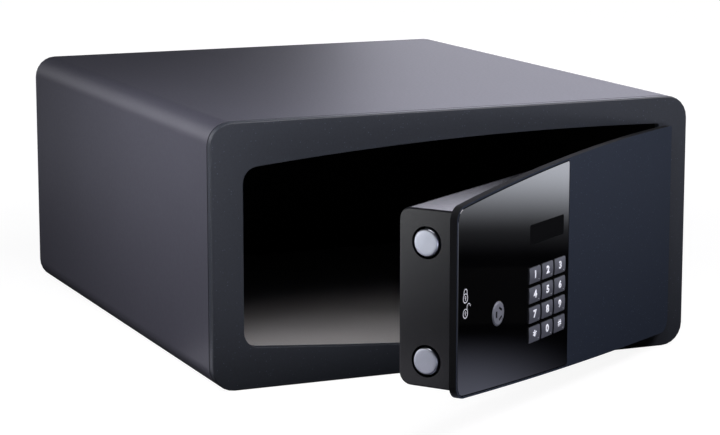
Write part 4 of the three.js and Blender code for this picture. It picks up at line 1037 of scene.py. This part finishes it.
class SAFE_OT_works(bpy.types.Operator):
    """Finish what lies inside the lock cover: motor, board and batteries"""

    bl_idname = "mesh.safe_works"
    bl_label = "Works"

    def execute(self, context):
        colours = context.scene.safe_colours
        black = moulded_abs("glass_filled_nylon", colours.black, 0.5)
        steel = plated_sheet("nickel_plated_steel", colours.bolt, colours.plate, 0.3)
        paint(["motor_gearbox", "battery_holder", "display_module"], black)
        paint(["motor_can", "battery_contact_upper", "battery_contact_lower"], steel)
        paint(["keypad_mat"], moulded_silicone("moulded_silicone", colours.rubber))
        paint(["circuit_board"], board_laminate("board_laminate", colours.board, colours.copper))
        sleeve = shrink_sleeve("shrink_sleeve", colours.cell, colours.band)
        paint(nodes_named("cell_"), sleeve)
        return {"FINISHED"}


# Stage

FLOOR_REACH = 8
FLOOR_DROP = 0.3 * MM
SENSOR_MM = 36

# Lamp: name, place, aim, width and height in metres, watts, colour
LAMPS = (
    ("back_window", (1.3, 1.6, 0.7), (0, 0, 0.1), 1.2, 0.8, 7.8, "#f0efff"),
    ("left_back_box", (-0.9, 0.9, 0.6), (0, 0, 0.1), 0.7, 0.7, 3.8, "#f8f8ff"),
    ("front_box", (0.36, -0.59, 0.6), (-0.05, -0.2, 0.1), 0.5, 0.25, 3.9, "#fbf8ff"),
    ("front_top_strip", (-0.05, -0.42, 0.8), (0, -0.2, 0.1), 0.5, 0.25, 2.6, "#fafdff"),
    ("front_near_strip", (-0.14, -0.42, 0.42), (-0.08, -0.2, 0.12), 0.4, 0.12, 0.8, "#fbf8ff"),
    ("left_low_strip", (-0.75, -0.28, 0.09), (-0.1, -0.28, 0.09), 0.35, 0.16, 0.5, "#fdffff"),
    ("left_side_box", (-0.46, -0.12, 0.29), (-0.18, -0.12, 0.11), 0.25, 0.2, 1.6, "#fbf8ff"),
)

# Small lamps close to the safe: reflections do not see them, so they leave no glare on the coat
FILL_LAMPS = ("front_near_strip", "left_side_box")

# Card: name, left, right, front and back edge in metres, colour, its fades along X, each
# from where it is dark to where it has its full strength, and its one fade along Y
CARD_LIFT = 2 * MM
CARDS = (
    (
        "panel_far_card", 0.45, 1.5, -0.6, -0.13, "#f0f4ff",
        ((0.6, 0.98, 3.9), (0.48, 0.72, 0.25)), (-0.62, -0.6),
    ),
    ("panel_near_card", -0.1, 0.24, -0.6, -0.2, "#dfe3ff", ((0.22, 0.0, 1.0),), (-0.27, -0.37)),
    ("bolt_end_card", -0.9, -0.4, -0.5, -0.1, "#f0f2ff", ((-0.4, -0.6, 1.6),), (-0.46, -0.39)),
    ("bolt_foot_card", -0.33, -0.2, -0.5, -0.1, "#f4f2ff", ((-0.36, -0.3, 0.9),), (-0.52, -0.5)),
    ("frame_card", -1.5, 1.0, -2.2, -0.4, "#e8ecff", ((0.85, 0.35, 3.0),), (-0.45, -1.15)),
    ("side_card", -0.8, -0.42, 0.4, 1.1, "#edf1ff", ((-0.82, -0.8, 0.7),), (0.38, 0.4)),
)


class SAFE_OT_stage(bpy.types.Operator):
    """Set the floor, the room, the lights and the camera"""

    bl_idname = "mesh.safe_stage"
    bl_label = "Stage"

    def execute(self, context):
        scene, stage = context.scene, context.scene.safe_stage
        scene.view_settings.view_transform = "Standard"
        self.add_floor(stage)
        self.add_room(scene, stage)
        self.add_lamps()
        self.add_cards()
        self.add_camera(scene, stage)
        return {"FINISHED"}

    def add_floor(self, stage):
        material, tree, place = start_material("studio_paper")
        away = add_node(tree, "ShaderNodeVectorMath", {0: place}, operation="LENGTH").outputs["Value"]
        # The eye sees paper that runs out to white; the object is lit by plain grey paper
        white = spread(
            tree, away, stage.paper_glow, 1.0, stage.paper_near, stage.paper_far, "SMOOTHSTEP"
        )
        grey = rgba((stage.floor_grey,) * 3)
        paper = add_node(tree, "ShaderNodeBsdfDiffuse", {"Color": grey}).outputs["BSDF"]
        lit = add_node(tree, "ShaderNodeAddShader", {0: paper, 1: glow(tree, white)})
        seen = shader_mix(tree, self.seen_ray(tree), paper, lit.outputs["Shader"])
        glossy = add_node(tree, "ShaderNodeLightPath").outputs["Is Glossy Ray"]
        whole = shader_mix(tree, glossy, seen, glow(tree, stage.mirror_level))
        add_node(tree, "ShaderNodeOutputMaterial", {"Surface": whole})
        mesh = bmesh.new()
        bmesh.ops.create_grid(mesh, x_segments=1, y_segments=1, size=FLOOR_REACH)
        floor = linked("floor", mesh, [material])
        floor.location.z = -FLOOR_DROP

    def seen_ray(self, tree):
        path = add_node(tree, "ShaderNodeLightPath").outputs
        return maths(tree, "MAXIMUM", path["Is Camera Ray"], path["Is Transmission Ray"])

    def add_room(self, scene, stage):
        world = bpy.data.worlds.new("room")
        scene.world = world
        world.use_nodes = True
        tree = world.node_tree
        tree.nodes.clear()
        glossy = add_node(tree, "ShaderNodeLightPath").outputs["Is Glossy Ray"]
        mirrored = spread(tree, glossy, stage.world_level, stage.mirror_level)
        level = spread(tree, self.seen_ray(tree), mirrored, 1.0)
        sockets = {"Color": rgba((1, 1, 1)), "Strength": level}
        room = add_node(tree, "ShaderNodeBackground", sockets)
        add_node(tree, "ShaderNodeOutputWorld", {"Surface": room.outputs["Background"]})

    def add_lamps(self):
        for name, spot, aim, width, height, power, colour in LAMPS:
            light = bpy.data.lights.new(name, "AREA")
            light.shape = "RECTANGLE"
            light.size = width
            light.size_y = height
            light.energy = power
            light.color = linear(colour)
            lamp = bpy.data.objects.new(name, light)
            lamp.location = spot
            lamp.rotation_euler = (Vector(aim) - Vector(spot)).to_track_quat("-Z", "Y").to_euler()
            lamp.visible_camera = False
            lamp.visible_glossy = name not in FILL_LAMPS
            bpy.context.scene.collection.objects.link(lamp)

    def add_cards(self):
        for name, left, right, front, back, colour, fades, depth in CARDS:
            material, tree, place = start_material(name)
            axes = add_node(tree, "ShaderNodeSeparateXYZ", {"Vector": place}).outputs
            parts = [
                spread(tree, axes["X"], 0.0, strength, dark, bright, "SMOOTHSTEP")
                for dark, bright, strength in fades
            ]
            total = parts[0]
            for part in parts[1:]:
                total = maths(tree, "ADD", total, part)
            level = spread(tree, axes["Y"], 0.0, total, *depth, "SMOOTHSTEP")
            surface = glow(tree, level, linear(colour))
            add_node(tree, "ShaderNodeOutputMaterial", {"Surface": surface})
            mesh = bmesh.new()
            outline = ((left, front), (right, front), (right, back), (left, back))
            mesh.faces.new([mesh.verts.new((x, y, CARD_LIFT)) for x, y in outline])
            card = linked(name, mesh, [material])
            # Only reflections see a card: it lights nothing and casts no shadow
            card.visible_camera = False
            card.visible_diffuse = False
            card.visible_shadow = False
            card.visible_transmission = False

    def add_camera(self, scene, stage):
        view = bpy.data.cameras.new("camera")
        view.sensor_fit = "HORIZONTAL"
        view.sensor_width = SENSOR_MM
        view.lens = stage.lens
        view.clip_start = 0.05
        view.clip_end = 50
        camera = bpy.data.objects.new("camera", view)
        ahead = Vector((
            math.sin(stage.yaw) * math.cos(stage.tilt),
            math.cos(stage.yaw) * math.cos(stage.tilt),
            -math.sin(stage.tilt),
        ))
        camera.location = Vector(stage.aim) - ahead * stage.distance
        camera.rotation_euler = (math.pi / 2 - stage.tilt, 0, -stage.yaw)
        scene.collection.objects.link(camera)
        scene.camera = camera


class SAFE_PT_panel(bpy.types.Panel):
    """Lists the pieces and their settings"""

    bl_label = "Laptop safe"
    bl_idname = "SAFE_PT_panel"
    bl_space_type = "VIEW_3D"
    bl_region_type = "UI"
    bl_category = "Safe"

    def draw(self, context):
        for operator in OPERATORS:
            self.layout.operator(operator.bl_idname)
        for group in (*settings(context), context.scene.safe_stage):
            box = self.layout.box()
            for name in group.bl_rna.properties.keys():
                if name not in ("rna_type", "name"):
                    box.prop(group, name)


OPERATORS = (
    SAFE_OT_stage,
    SAFE_OT_cabinet,
    SAFE_OT_floor_mat,
    SAFE_OT_hinges,
    SAFE_OT_door_plate,
    SAFE_OT_control_panel,
    SAFE_OT_keypad,
    SAFE_OT_lock_cover,
    SAFE_OT_bolts,
    SAFE_OT_emergency_lock,
    SAFE_OT_works,
)
CLASSES = (SafeSizes, SafeColours, SafeStage, *OPERATORS, SAFE_PT_panel)


def register():
    for made in CLASSES:
        bpy.utils.register_class(made)
    bpy.types.Scene.safe_sizes = PointerProperty(type=SafeSizes)
    bpy.types.Scene.safe_colours = PointerProperty(type=SafeColours)
    bpy.types.Scene.safe_stage = PointerProperty(type=SafeStage)


def unregister():
    del bpy.types.Scene.safe_sizes
    del bpy.types.Scene.safe_colours
    del bpy.types.Scene.safe_stage
    for made in reversed(CLASSES):
        bpy.utils.unregister_class(made)


def main():
    register()
    for operator in OPERATORS:
        area, name = operator.bl_idname.split(".")
        getattr(getattr(bpy.ops, area), name)()


if __name__ == "__main__":
    main()
